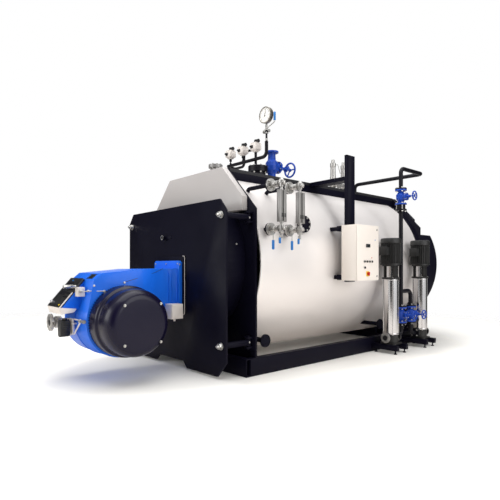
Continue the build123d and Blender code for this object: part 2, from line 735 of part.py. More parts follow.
# Level gauges on the right side of the shell
with BuildPart() as level_gauges:
    for y in gauge_places:
        for z in gauge_pipe_heights:
            flange(facing(gauge_head, y, z, (1, 0, 0)), gauge_flange_radius, 20.0, 50.0, 4, 9.0)
            rod(facing(gauge_head, y, z, (1, 0, 0)), 22.0, gauge_column_place - gauge_head + 30.0)
            rod(Plane((gauge_column_place, y, z - 38.0)), 24.0, 76.0)
            rod(facing(gauge_cock_place - 34.0, y, z, (1, 0, 0)), 34.0, 68.0)
            rod(facing(gauge_cock_place, y - gauge_stem_reach, z, (0, 1, 0)), 12.0, gauge_stem_reach)
            rod(Plane((gauge_column_place, y, z)), 34.0, 22.0)
            rod(facing(gauge_column_place, y, z, (1, 0, 0)), 16.0, 52.0)
        rod(Plane((gauge_column_place, y, gauge_pipe_heights[0])), 14.0, gauge_pipe_heights[1] - gauge_pipe_heights[0])
        with BuildSketch(Plane((gauge_column_place, y, gauge_column_bottom))):
            RectangleRounded(gauge_column_depth, gauge_column_width, 5.0)
        extrude(amount=gauge_column_top - gauge_column_bottom)
        rod(Plane((gauge_column_place, y, gauge_pipe_heights[0] - 110.0)), 12.0, 80.0)
        rod(facing(gauge_column_place, y, gauge_pipe_heights[0] - 80.0, (0, -1, 0)), 9.0, 26.0)
        rod(Plane((gauge_column_place, y - 26.0, gauge_pipe_heights[0] - 168.0)), 8.0, 92.0)
level_gauges.part.label = "level_gauges"
export_step(level_gauges.part, "parts/level_gauges.step")

for index, y in enumerate(gauge_places):
    name = f"level_gauge_lever_{index + 1}"
    with BuildPart() as gauge_lever:
        z = gauge_pipe_heights[0]
        plane_y = y - gauge_stem_reach - seat - 6.0
        rod(facing(gauge_cock_place, plane_y + 6.0, z, (0, -1, 0)), 15.0, 12.0)
        rod(Plane((gauge_cock_place, plane_y, z - gauge_lever_hang)), 5.0, gauge_lever_hang)
        rod(Plane((gauge_cock_place, plane_y, z - gauge_lever_hang)), 11.0, gauge_lever_grip)
    gauge_lever.part.label = name
    export_step(gauge_lever.part, f"parts/{name}.step")

# Feed line: one riser over the shell, fed by two pump runs
with BuildPart() as feed_pipe:
    bend = 75.0
    pipe(feed_pipe_radius, bend,
         (feed_line_x, feed_place, feed_valve_top + 18.0),
         (feed_line_x, feed_place, feed_top),
         (feed_line_x, feed_rear_place, feed_top),
         (feed_entry_x, feed_rear_place, feed_top),
         (feed_entry_x, feed_rear_place, shell_height(feed_entry_x) - 20.0))
    flange(Plane((feed_line_x, feed_place, feed_valve_top)), feed_flange_radius, 20.0, 62.5, 4, 9.0)
    clear_of_shell()
feed_pipe.part.label = "feed_pipe"
export_step(feed_pipe.part, "parts/feed_pipe.step")

valve_stem_length = valve_stem_reach - small_hub_length / 2 - seat - valve_stem_start
with BuildPart() as feed_valve:
    valve_middle = (feed_valve_bottom + feed_valve_top) / 2
    for z in (feed_valve_bottom, feed_valve_top - 20.0):
        flange(Plane((feed_line_x, feed_place, z)), feed_flange_radius, 20.0, 62.5, 4, 9.0)
    turned(Plane((feed_line_x, feed_place, feed_valve_bottom)),
           (0, 10), (38, 10), (40, 40), (66, 80), (68, 142), (40, 182), (38, 212), (0, 212))
    turned(facing(feed_line_x, feed_place, valve_middle, (1, 0, 0)),
           (0, 0), (44, 0), (44, 78), (56, 80), (56, 98), (26, 104), (18, 150), (0, 150))
    rod(facing(feed_line_x + valve_stem_start, feed_place, valve_middle, (1, 0, 0)), 8.0, valve_stem_length)
feed_valve.part.label = "feed_valve"
export_step(feed_valve.part, "parts/feed_valve.step")

with BuildPart() as feed_handwheel:
    wheel_plane = facing(feed_line_x + valve_stem_reach, feed_place, valve_middle, (1, 0, 0))
    handwheel(wheel_plane, small_wheel_radius, 8.0, 4, 15.0, small_hub_length)
feed_handwheel.part.label = "feed_handwheel"
export_step(feed_handwheel.part, "parts/feed_handwheel.step")

with BuildPart() as feed_riser:
    bottom = run_valve_top + 18.0
    rod(Plane((feed_line_x, feed_place, bottom)), feed_pipe_radius, feed_valve_bottom - 50.0 - bottom)
    flange(Plane((feed_line_x, feed_place, feed_valve_bottom - 88.0)), feed_flange_radius, 20.0, 62.5, 4, 9.0)
    rod(Plane((feed_line_x, feed_place, feed_valve_bottom - 68.0)), 62.0, 68.0)
    pipe(feed_pipe_radius, 75.0,
         (feed_line_x, feed_place, run_join_height),
         (feed_line_x, run_places[1], run_join_height),
         (feed_line_x, run_places[1], bottom))
    for y in run_places:
        flange(Plane((feed_line_x, y, run_valve_top)), feed_flange_radius, 20.0, 62.5, 4, 9.0)
feed_riser.part.label = "feed_riser"
export_step(feed_riser.part, "parts/feed_riser.step")

run_middle = (run_valve_bottom + run_valve_top) / 2
with BuildPart() as pump_valves:
    for y in run_places:
        for z in (run_valve_bottom, run_valve_top - 20.0):
            flange(Plane((feed_line_x, y, z)), feed_flange_radius, 20.0, 62.5, 4, 9.0)
        turned(Plane((feed_line_x, y, run_valve_bottom)),
               (0, 10), (38, 10), (40, 40), (66, 85), (68, 145), (40, 190), (38, 220), (0, 220))
        turned(facing(feed_line_x, y, run_middle, (1, 0, 0)),
               (0, 0), (44, 0), (44, 78), (56, 80), (56, 98), (26, 104), (18, 150), (0, 150))
        rod(facing(feed_line_x + valve_stem_start, y, run_middle, (1, 0, 0)), 8.0, valve_stem_length)
pump_valves.part.label = "pump_valves"
export_step(pump_valves.part, "parts/pump_valves.step")

for index, y in enumerate(run_places):
    name = f"pump_handwheel_{index + 1}"
    with BuildPart() as pump_handwheel:
        wheel_plane = facing(feed_line_x + valve_stem_reach, y, run_middle, (1, 0, 0))
        handwheel(wheel_plane, small_wheel_radius, 8.0, 4, 15.0, small_hub_length)
    pump_handwheel.part.label = name
    export_step(pump_handwheel.part, f"parts/{name}.step")

# Pumps on their skid
port_reach = 150.0
with BuildPart() as pump_pipes:
    for pump_y, run_y in zip(pump_places, run_places):
        side = 1 if run_y > pump_y else -1
        port = pump_y + side * port_reach
        pipe(feed_pipe_radius, 75.0,
             (feed_line_x, port, pump_port_height),
             (feed_line_x, run_y, pump_port_height),
             (feed_line_x, run_y, run_valve_bottom - 4.0))
        flange(facing(feed_line_x, port, pump_port_height, (0, side, 0)), 70.0, 18.0, 55.0, 4, 8.0)
        flange(Plane((feed_line_x, run_y, run_valve_bottom - 20.0)), feed_flange_radius, 20.0, 62.5, 4, 9.0)
        rod(Plane((feed_line_x, run_y, run_valve_bottom - 95.0)), 42.0, 50.0)
pump_pipes.part.label = "pump_pipes"
export_step(pump_pipes.part, "parts/pump_pipes.step")

with BuildPart() as pump_bases:
    for y in pump_places:
        with BuildSketch(Plane((feed_line_x, y, pump_base_bottom))):
            RectangleRounded(230.0, 230.0, 30.0)
        extrude(amount=22.0)
        rod(Plane((feed_line_x, y, pump_base_bottom + 20.0)), 100.0, pump_base_top - pump_base_bottom - 20.0)
        for side in (-1, 1):
            rod(facing(feed_line_x, y, pump_port_height, (0, side, 0)), 40.0, port_reach - 20.0)
            flange(facing(feed_line_x, y + side * (port_reach - 20.0), pump_port_height, (0, side, 0)),
                   70.0, 20.0, 55.0, 4, 8.0)
pump_bases.part.label = "pump_bases"
export_step(pump_bases.part, "parts/pump_bases.step")

with BuildPart() as pump_sleeves:
    for y in pump_places:
        rod(Plane((feed_line_x, y, pump_base_top)), pump_sleeve_radius, pump_sleeve_top - pump_base_top)
pump_sleeves.part.label = "pump_sleeves"
export_step(pump_sleeves.part, "parts/pump_sleeves.step")

with BuildPart() as pump_motors:
    for y in pump_places:
        turned(Plane((feed_line_x, y, pump_sleeve_top)),
               (0, 0), (125, 0), (125, 22), (92, 40), (92, 165), (118, 185), (118, 225), (pump_motor_radius, 225),
               (pump_motor_radius, 525), (135, 530), (135, pump_motor_top - pump_sleeve_top - 12.0),
               (125, pump_motor_top - pump_sleeve_top), (0, pump_motor_top - pump_sleeve_top))
        block(facing(feed_line_x, y - pump_motor_radius + 15.0, pump_stool_top + 190.0, (0, -1, 0)),
              110.0, 110.0, 75.0)
pump_motors.part.label = "pump_motors"
export_step(pump_motors.part, "parts/pump_motors.step")

with BuildPart() as pump_skid:
    for y in [place + step for place in pump_places for step in (-skid_offset, skid_offset)]:
        block(facing(base_half_width, y, (skid_bottom + pump_base_bottom) / 2, (1, 0, 0)),
              skid_channel_width, pump_base_bottom - skid_bottom, skid_outer - base_half_width)
        for x in (base_half_width + 60.0, skid_outer - 40.0):
            rod(Plane((x, y, 0)), 22.0, 12.0)
            rod(Plane((x, y, 10.0)), 9.0, 45.0)
pump_skid.part.label = "pump_skid"
export_step(pump_skid.part, "parts/pump_skid.step")

# Front door: sheet cover, refractory drum, arms and pins
door_outline = [
    (door_notch_half_width, door_notch_height),
    (door_leg_inner, door_leg_bottom),
    (door_leg_outer, door_leg_bottom),
    (door_half_width, door_corner_height),
    (door_half_width, door_shoulder_height),
    (door_top_half_width, door_top),
]
with BuildPart() as door_cover:
    plate(door_outline, door_face, door_return)
    with BuildSketch(facing(0, door_face + door_sheet, 0, (0, 1, 0), (-1, 0, 0))):
        with BuildLine():
            Polyline(*mirrored(door_outline), close=True)
        make_face()
        offset(amount=-door_sheet, mode=Mode.REPLACE)
    extrude(amount=door_return, mode=Mode.SUBTRACT)
door_cover.part.label = "door_cover"
export_step(door_cover.part, "parts/door_cover.step")

drum_front = door_face + door_sheet
drum_rear = -run_gap
with BuildPart() as door_drum:
    with BuildSketch(facing(0, drum_front, shell_axis_height, (0, 1, 0), (-1, 0, 0))):
        Circle(drum_radius)
        with Locations((0, drum_flat_height - shell_axis_height + drum_radius)):
            Rectangle(2 * drum_radius, 2 * drum_radius, mode=Mode.SUBTRACT)
    extrude(amount=drum_rear - drum_front)
    with BuildSketch(facing(0, drum_front + drum_front_wall, shell_axis_height, (0, 1, 0), (-1, 0, 0))):
        Circle(drum_radius - drum_wall)
        with Locations((0, drum_flat_height - drum_wall - shell_axis_height + drum_radius)):
            Rectangle(2 * drum_radius, 2 * drum_radius, mode=Mode.SUBTRACT)
    extrude(amount=drum_rear - drum_front, mode=Mode.SUBTRACT)
door_drum.part.label = "door_drum"
export_step(door_drum.part, "parts/door_drum.step")

arm_start = door_face + door_sheet
lug_outer = lug_inner + lug_thickness
with BuildPart() as door_arms:
    for side in (-1, 1):
        for z in arm_heights:
            rod(facing(side * arm_place, arm_start, z, (0, 1, 0)), arm_radius, hinge_line - arm_start)
            rod(Plane((side * arm_place, hinge_line, z - arm_height / 2)), eye_radius, arm_height)
    for z in arm_heights:
        rod(Plane((arm_place, hinge_line, z - arm_height)), pin_radius + 0.1, 2 * arm_height, Mode.SUBTRACT)
        rod(Plane((-arm_place, hinge_line, z - lug_outer - 15.0)), pin_radius, 2 * lug_outer + 15.0 + run_gap)
        rod(Plane((-arm_place, hinge_line, z + lug_outer + run_gap)), 20.0, 12.0)
door_arms.part.label = "door_arms"
export_step(door_arms.part, "parts/door_arms.step")

with BuildPart() as hinge_lugs:
    for z in arm_heights:
        for step in (-1, 1):
            low = z + step * (lug_inner + lug_thickness / 2) - lug_thickness / 2
            with BuildSketch(Plane((arm_place, 0, low))):
                with Locations((0, hinge_line)):
                    Circle(lug_half_width)
                with Locations((0, hinge_line / 2)):
                    Rectangle(2 * lug_half_width, -hinge_line)
            extrude(amount=lug_thickness)
            with BuildSketch(Plane((-arm_place, 0, low))):
                with Locations((0, hinge_line)):
                    Circle(lug_half_width)
                with Locations((0, hinge_line / 2)):
                    Rectangle(2 * lug_half_width, -hinge_line)
                with Locations((0, hinge_line)):
                    Circle(pin_radius + run_gap, mode=Mode.SUBTRACT)
                with Locations((0, hinge_line - lug_half_width / 2 - 5.0)):
                    Rectangle(2 * (pin_radius + run_gap), lug_half_width + 10.0, mode=Mode.SUBTRACT)
            extrude(amount=lug_thickness)
    for z in arm_heights:
        rod(Plane((arm_place, hinge_line, z - lug_outer - 15.0)), pin_radius, 2 * lug_outer + 15.0)
        rod(Plane((arm_place, hinge_line, z + lug_outer)), 20.0, 12.0)
hinge_lugs.part.label = "hinge_lugs"
export_step(hinge_lugs.part, "parts/hinge_lugs.step")

with BuildPart() as door_nuts:
    for side in (-1, 1):
        for z in arm_heights:
            nut_plane = facing(side * arm_place, door_face, z, (0, -1, 0))
            rod(nut_plane, 40.0, 8.0)
            with BuildSketch(nut_plane.offset(8.0)):
                RegularPolygon(door_nut_flat / 2, 6, major_radius=False)
            extrude(amount=30.0)
            rod(nut_plane.offset(38.0), 16.0, 22.0)
door_nuts.part.label = "door_nuts"
export_step(door_nuts.part, "parts/door_nuts.step")

# Burner on the door
with BuildPart() as burner_plate:
    with BuildSketch(facing(0, door_face, (burner_plate_bottom + burner_plate_top) / 2, (0, -1, 0))):
        Rectangle(2 * burner_plate_half_width, burner_plate_top - burner_plate_bottom)
    extrude(amount=burner_plate_thickness)
    fillet(burner_plate.edges().filter_by(Axis.Y), radius=burner_plate_corner)
burner_plate.part.label = "burner_plate"
export_step(burner_plate.part, "parts/burner_plate.step")

burner_face = door_face - burner_plate_thickness
with BuildPart() as burner_housing:
    with BuildSketch(facing(0, burner_face, (head_bottom + head_top) / 2, (0, -1, 0))):
        RectangleRounded(2 * head_half_width, head_top - head_bottom, 40.0)
    extrude(amount=head_depth)
    head_front = burner_face - head_depth
    with BuildSketch(Plane.YZ.offset(-scroll_half_width)):
        with BuildLine():
            Polyline((duct_taper[0], burner_axis_height), (duct_taper[1], duct_bottom), (head_front, duct_bottom),
                     (head_front, duct_top), (duct_taper[0], duct_top - 6.0), (-1430.0, duct_top - 49.0),
                     housing_front_top, housing_front_bottom, close=True)
        make_face()
    extrude(amount=2 * scroll_half_width)
    for side in (-1, 1):
        with BuildSketch(Plane.XY.offset(burner_axis_height)):
            with BuildLine():
                Polyline((side * scroll_half_width, duct_taper[0]), (side * duct_half_width, duct_taper[1]),
                         (side * duct_half_width, head_front), (side * 2 * scroll_half_width, head_front),
                         (side * 2 * scroll_half_width, duct_taper[0]), close=True)
            make_face()
        extrude(amount=scroll_radius + duct_top, mode=Mode.SUBTRACT)
    rod(facing(-scroll_half_width, burner_axis, burner_axis_height, (1, 0, 0)), scroll_radius,
        2 * scroll_half_width)
    with BuildSketch(facing(-seam_half_width, burner_axis, burner_axis_height, (1, 0, 0))):
        Circle(scroll_radius + seam_height)
        Circle(scroll_radius - seam_height, mode=Mode.SUBTRACT)
    extrude(amount=2 * seam_half_width)
    with BuildSketch(Plane.YZ.offset(-scroll_half_width)):
        with Locations((duct_taper[0] + 250.0 - scroll_radius, duct_top + 50.0)):
            Rectangle(500.0, 100.0)
    extrude(amount=2 * scroll_half_width, mode=Mode.SUBTRACT)
burner_housing.part.label = "burner_housing"
export_step(burner_housing.part, "parts/burner_housing.step")

with BuildPart() as fan_cover:
    with BuildSketch(facing(scroll_half_width, burner_axis, burner_axis_height, (0, 1, 0), (0, 0, 1))) as section:
        with BuildLine():
            ring = fan_ring_end - scroll_half_width
            depth = fan_face - scroll_half_width
            Polyline((fan_ring_radius - 14.0, ring), (fan_ring_radius, ring - 14.0), (fan_ring_radius, 0), (0, 0),
                     (0, depth), (fan_face_radius - 40.0, depth))
            Spline((fan_face_radius - 40.0, depth), (fan_face_radius + 4.0, depth - 34.0),
                   (fan_ring_radius - 22.0, depth - 140.0), (fan_ring_radius - 14.0, ring),
                   tangents=((1, 0), (0, -1)))
        make_face()
    revolve(section.sketch, axis=Axis((scroll_half_width, burner_axis, burner_axis_height), (1, 0, 0)))
fan_cover.part.label = "fan_cover"
export_step(fan_cover.part, "parts/fan_cover.step")

def front_wall(z):
    """Y of a face resting on the housing's slanted front wall, at a height."""
    slope = (housing_front_top[0] - housing_front_bottom[0]) / (housing_front_top[1] - housing_front_bottom[1])
    return housing_front_bottom[0] + slope * (z - housing_front_bottom[1]) - seat


with BuildPart() as burner_console:
    with BuildSketch(Plane.YZ.offset(console_left)):
        with BuildLine():
            Polyline((console_nose, console_low), (console_nose, console_low + 28.0),
                     (front_wall(console_high) - 18.0, console_high), (front_wall(console_high), console_high),
                     (front_wall(console_low), console_low), close=True)
        make_face()
    extrude(amount=console_right - console_left)
    rod(facing(console_left, burner_axis, burner_axis_height, (1, 0, 0)), scroll_radius + seam_height + seat,
        console_right - console_left, Mode.SUBTRACT)
burner_console.part.label = "burner_console"
export_step(burner_console.part, "parts/burner_console.step")

with BuildPart() as burner_boxes:
    block(facing(duct_half_width, junction_box[0], junction_box[1], (1, 0, 0)), 150.0, 170.0, 150.0)
    box_low = housing_front_top[1] - 171.0
    block(Plane((122.0, front_wall(box_low) - 38.0, box_low)), 76.0, 76.0, 97.0)
burner_boxes.part.label = "burner_boxes"
export_step(burner_boxes.part, "parts/burner_boxes.step")

scroll_face = burner_axis - scroll_radius
with BuildPart() as gas_train:
    gas_line = facing(gas_place, gas_flange_face, gas_height, (0, 1, 0))
    flange(gas_line, gas_flange_radius, 20.0, 72.5, 4, 9.0)
    rod(gas_line, gas_pipe_radius, scroll_face + 40.0 - gas_flange_face)
    rod(gas_line.offset(shaft_offset - 30.0), gas_pipe_radius + 20.0, 60.0)
    rod(facing(-scroll_half_width, burner_axis, burner_axis_height, (1, 0, 0)),
        scroll_radius + seat, 2 * scroll_half_width, Mode.SUBTRACT)
gas_train.part.label = "gas_train"
export_step(gas_train.part, "parts/gas_train.step")

actuator_top = gas_actuator_bottom + gas_actuator_height
with BuildPart() as gas_actuator:
    with BuildSketch(Plane.XZ.offset(-gas_flange_face - 20.0)):
        with Locations((0, (gas_actuator_bottom + actuator_top) / 2)):
            Rectangle(gas_actuator_width, gas_actuator_height)
    extrude(amount=-gas_actuator_depth)
    chamfer(gas_actuator.edges().filter_by(Axis.Y), length=22.0)
    rod(facing(gas_place + gas_pipe_radius + 20.0 + seat, gas_flange_face + shaft_offset, gas_height, (1, 0, 0)),
        shaft_radius, -gas_place - gas_pipe_radius - gas_actuator_width / 2 - 15.0)
gas_actuator.part.label = "gas_actuator"
export_step(gas_actuator.part, "parts/gas_actuator.step")

bracket_face = -gas_actuator_width / 2 - seat
with BuildPart() as actuator_bracket:
    with BuildSketch(Plane.YZ.offset(bracket_face - bracket_thickness)):
        with Locations((gas_flange_face + shaft_offset + 24.0, (gas_actuator_bottom + actuator_top) / 2)):
            Rectangle(110.0, gas_actuator_height + 12.0)
        with Locations((gas_flange_face + shaft_offset, gas_height)):
            Circle(shaft_radius + seat, mode=Mode.SUBTRACT)
    extrude(amount=bracket_thickness)
    block(facing(bracket_face - bracket_thickness / 2 + 44.0, scroll_face - 48.0, gas_height, (0, 1, 0)),
          100.0, bracket_thickness, 90.0)
    rod(facing(-scroll_half_width, burner_axis, burner_axis_height, (1, 0, 0)),
        scroll_radius + seat, 2 * scroll_half_width, Mode.SUBTRACT)
    rod(facing(-seam_half_width - seat, burner_axis, burner_axis_height, (1, 0, 0)),
        scroll_radius + seam_height + seat, 2 * (seam_half_width + seat), Mode.SUBTRACT)
actuator_bracket.part.label = "actuator_bracket"
export_step(actuator_bracket.part, "parts/actuator_bracket.step")

with BuildPart() as blast_tube:
    with BuildSketch(facing(0, drum_front + drum_front_wall, furnace_axis_height, (0, 1, 0))):
        Circle(blast_tube_radius)
        Circle(blast_tube_radius - blast_tube_wall, mode=Mode.SUBTRACT)
    extrude(amount=blast_tube_end - drum_front - drum_front_wall)
blast_tube.part.label = "blast_tube"
export_step(blast_tube.part, "parts/blast_tube.step")
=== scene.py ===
# %% [markdown]
# # A horizontal steam boiler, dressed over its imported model
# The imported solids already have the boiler's true sizes and joints. This lesson gives them paint, metal
# and light, and adds the fine pieces that a boiler maker bolts on last: nuts, ribs, glasses and dials.

# %% Load the frame
from math import radians
import bmesh
import bpy
import numpy as np
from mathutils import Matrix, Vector


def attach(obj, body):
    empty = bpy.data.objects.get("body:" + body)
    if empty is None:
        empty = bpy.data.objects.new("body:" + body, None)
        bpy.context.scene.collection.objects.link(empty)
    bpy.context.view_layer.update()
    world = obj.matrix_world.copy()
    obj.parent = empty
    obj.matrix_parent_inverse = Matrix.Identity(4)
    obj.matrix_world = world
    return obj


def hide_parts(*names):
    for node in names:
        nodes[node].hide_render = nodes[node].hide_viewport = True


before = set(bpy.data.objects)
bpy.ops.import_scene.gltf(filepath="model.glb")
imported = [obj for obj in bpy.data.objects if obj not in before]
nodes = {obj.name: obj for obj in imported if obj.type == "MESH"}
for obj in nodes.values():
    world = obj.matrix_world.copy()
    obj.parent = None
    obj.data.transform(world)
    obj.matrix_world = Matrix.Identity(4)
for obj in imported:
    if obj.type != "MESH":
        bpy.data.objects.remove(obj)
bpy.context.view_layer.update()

scene = bpy.context.scene

# %% [markdown]
# ## Camera
# The photograph was taken from about chest height, a little right of the burner end. The focal length and
# heading follow from how the long parallel edges of the boiler run together. The horizon lies just under
# the middle of the picture, so the lens is shifted up instead of tilting the camera: uprights stay upright.

# %% The camera
camera = bpy.data.objects.new("camera", bpy.data.cameras.new("camera"))
scene.collection.objects.link(camera)
camera.location = (4.8078, -3.378, 1.2)
camera.rotation_euler = (radians(90), 0, radians(48.45))
camera.data.sensor_width = 36.0
camera.data.lens = 32.54
camera.data.shift_y = 0.036
camera.data.clip_end = 200
scene.camera = camera
scene.view_settings.view_transform = "Standard"
print("camera at", tuple(camera.location))

# %% [markdown]
# ## Colour
# A colour is picked as a screen code, but a shader works with linear light, so each code is converted once.


# %% Screen colour to linear light
def linear(code):
    """Screen colour '#rrggbb' as linear light: c/12.92 when dark, else ((c + 0.055) / 1.055) ** 2.4."""
    screen = np.array([int(code[place:place + 2], 16) for place in (1, 3, 5)]) / 255.0
    light = np.where(screen <= 0.04045, screen / 12.92, ((screen + 0.055) / 1.055) ** 2.4)
    return (*(float(value) for value in light), 1.0)


# %% [markdown]
# ## Shader nodes
# The room, the floor and every finish are small graphs of nodes. One helper adds a node and fills its inputs,
# each with a number, a colour or the output of a node made before it, so a graph reads from top to bottom.


# %% One node and its inputs
def fill(tree, node, inputs):
    """Fill a node's inputs: socket name or number -> a value to set, or another node's output to link."""
    for socket, value in inputs.items():
        if isinstance(value, bpy.types.NodeSocket):
            tree.links.new(value, node.inputs[socket])
        else:
            node.inputs[socket].default_value = value


def add_node(tree, kind, inputs, **settings):
    """Add a shader node, give it its settings and fill its inputs."""
    node = tree.nodes.new("ShaderNode" + kind)
    for setting, value in settings.items():
        setattr(node, setting, value)
    fill(tree, node, inputs)
    return node


# %% [markdown]
# ## Light and floor
# A product studio: one very large soft lamp overhead, one tall one on each side, and a pale room all round
# that the gloss paint can mirror. The floor is a warm white, and its colour is stronger for the
# camera alone, so that it melts into the backdrop and still takes the soft shadow under the boiler. Far from
# the boiler the floor fades away to nothing, so no horizon shows. Right round the base the floor is a little
# darker, where the boiler hides part of the bright room from it.
#
# Polished metal only looks polished when it has something dark to mirror, so tall black cards stand between the
# lamps. They are painted into the room for mirror rays alone: dark where sin(3 azimuth) is low, bright overhead.

# %% The room's own light
world = bpy.data.worlds.new("studio")
scene.world = world
world.use_nodes = True
tree = world.node_tree
room = tree.nodes["Background"]
fill(tree, room, {"Color": linear("#f4f4f6"), "Strength": 0.55})
backdrop = add_node(tree, "Background", {"Color": (1, 1, 1, 1), "Strength": 1.0})
looking = add_node(tree, "TexCoord", {})
parts = add_node(tree, "SeparateXYZ", {"Vector": looking.outputs["Generated"]})


def reckon(operation, *inputs):
    """One arithmetic node of the room, fed by numbers or by other nodes' outputs."""
    return add_node(tree, "Math", dict(enumerate(inputs)), operation=operation).outputs["Value"]


azimuth = reckon("ARCTAN2", parts.outputs["Y"], parts.outputs["X"])
cards = reckon("SINE", reckon("MULTIPLY_ADD", azimuth, 3.0, 0.9))
soft_cards = reckon("SMOOTH_MAX", reckon("MULTIPLY_ADD", cards, 2.2, 0.75), 0.06, 0.15)
overhead = reckon("MULTIPLY_ADD", parts.outputs["Z"], 2.4, -1.2)
card_light = reckon("MINIMUM", reckon("MAXIMUM", soft_cards, overhead), 1.0)
mirrored = add_node(tree, "Background", {"Strength": card_light})
ray = add_node(tree, "LightPath", {})
polish = add_node(tree, "MixShader", {"Fac": ray.outputs["Is Glossy Ray"], 1: room.outputs[0],
                                      2: mirrored.outputs[0]})
choose = add_node(tree, "MixShader", {"Fac": ray.outputs["Is Camera Ray"], 1: polish.outputs[0],
                                      2: backdrop.outputs[0]})
tree.links.new(choose.outputs[0], tree.nodes["World Output"].inputs["Surface"])
print("room light", room.inputs["Strength"].default_value)


# %% Soft lamps
def soft_lamp(name, place, aim, width, height, watts):
    """A rectangular lamp at a place, turned so that its face looks at the aim."""
    lamp = bpy.data.objects.new(name, bpy.data.lights.new(name, "AREA"))
    lamp.data.shape = "RECTANGLE"
    lamp.data.size, lamp.data.size_y = width, height
    lamp.data.energy = watts
    lamp.location = place
    lamp.rotation_euler = (Vector(aim) - Vector(place)).to_track_quat("-Z", "Y").to_euler()
    scene.collection.objects.link(lamp)


middle = (0.2, 1.2, 1.2)
soft_lamp("overhead", (0.8, -0.5, 7.5), middle, 8.0, 8.0, 530)
soft_lamp("right_side", (8.5, 2.0, 4.0), middle, 5.0, 6.0, 285)
soft_lamp("front_left", (-3.5, -8.5, 3.5), middle, 5.0, 4.0, 240)

# %% The floor's paint
floor_colour = (0.90, 0.85, 0.79, 1)
floor_for_camera = (2.1, 2.06, 1.96)
floor_paint = bpy.data.materials.new("studio_floor")
floor_paint.use_nodes = True
tree = floor_paint.node_tree
shade = tree.nodes["Principled BSDF"]
open_sky = add_node(tree, "AmbientOcclusion", {"Distance": 1.2}, samples=24)
nearness = add_node(tree, "MapRange", {"Value": open_sky.outputs["AO"], "From Min": 0.71, "From Max": 1.0,
                                       "To Min": 0.42, "To Max": 0.62})
soft_foot = add_node(tree, "VectorMath", {0: floor_for_camera, "Scale": nearness.outputs["Result"]},
                     operation="SCALE")
ray = add_node(tree, "LightPath", {})
tint = add_node(tree, "Mix", {"Factor": ray.outputs["Is Camera Ray"], "A": floor_colour,
                              "B": soft_foot.outputs["Vector"]}, data_type="RGBA")
fill(tree, shade, {"Roughness": 0.9, "Specular IOR Level": 0.1, "Base Color": tint.outputs["Result"]})
print("floor darker within", open_sky.inputs["Distance"].default_value, "m of the boiler")

# %% The floor itself, fading out with distance
spot = add_node(tree, "TexCoord", {})
distance = add_node(tree, "VectorMath", {0: spot.outputs["Object"]}, operation="LENGTH")
fading = add_node(tree, "MapRange", {"Value": distance.outputs["Value"], "From Min": 4.5, "From Max": 9.0},
                  interpolation_type="SMOOTHSTEP")
nothing = add_node(tree, "BsdfTransparent", {})
ground = add_node(tree, "MixShader", {"Fac": fading.outputs["Result"], 1: shade.outputs[0],
                                      2: nothing.outputs[0]})
tree.links.new(ground.outputs[0], tree.nodes["Material Output"].inputs["Surface"])
floor_mesh = bpy.data.meshes.new("studio_floor")
reach = 60.0
corners = [(-reach, -reach, 0), (reach, -reach, 0), (reach, reach, 0), (-reach, reach, 0)]
floor_mesh.from_pydata(corners, [], [(0, 1, 2, 3)])
floor = bpy.data.objects.new("studio_floor", floor_mesh)
floor_mesh.materials.append(floor_paint)
scene.collection.objects.link(floor)

# %% [markdown]
# ## Finishes
# Nearly everything on a boiler is painted steel, cast metal or moulded plastic. One recipe serves them all:
# a slow noise clouds the colour and the gloss, as hands, dust and spraying do, and a fine noise lifts the
# surface, as orange peel, casting sand or brushing do. Brushing is the same noise squeezed along one axis.


# %% The recipe
def finish(name, code, rough=0.4, metal=0.0, coat=0.0, cloud=0.06, cloud_scale=2.5, grain=0.15,
           grain_scale=220.0, lift=0.0004, squeeze=(1, 1, 1), rough_spread=0.10, shine=0.5):
    """Colour = code * (1 -+ cloud * slow noise); roughness = rough -+ spread; height = grain * fine noise."""
    material = bpy.data.materials.new(name)
    material.use_nodes = True
    tree = material.node_tree
    shader = tree.nodes["Principled BSDF"]
    place = add_node(tree, "TexCoord", {})
    slow = add_node(tree, "TexNoise", {"Vector": place.outputs["Object"], "Scale": cloud_scale, "Detail": 6.0})
    stretch = add_node(tree, "Mapping", {"Vector": place.outputs["Object"], "Scale": squeeze})
    fine = add_node(tree, "TexNoise", {"Vector": stretch.outputs["Vector"], "Scale": grain_scale, "Detail": 3.0})
    base = linear(code)[:3]
    darker = (*(value * (1 - cloud) for value in base), 1)
    lighter = (*(min(1.0, value * (1 + cloud)) for value in base), 1)
    tint = add_node(tree, "Mix", {"Factor": slow.outputs["Fac"], "A": darker, "B": lighter}, data_type="RGBA")
    gloss = add_node(tree, "MapRange", {"Value": slow.outputs["Fac"], "From Min": 0.3, "From Max": 0.7,
                                        "To Min": max(0.03, rough - rough_spread),
                                        "To Max": min(1.0, rough + rough_spread)})
    bump = add_node(tree, "Bump", {"Height": fine.outputs["Fac"], "Strength": grain, "Distance": lift})
    fill(tree, shader, {"Metallic": metal, "Coat Weight": coat, "Coat Roughness": 0.12,
                        "Specular IOR Level": shine, "Base Color": tint.outputs["Result"],
                        "Roughness": gloss.outputs["Result"], "Normal": bump.outputs["Normal"]})
    return material


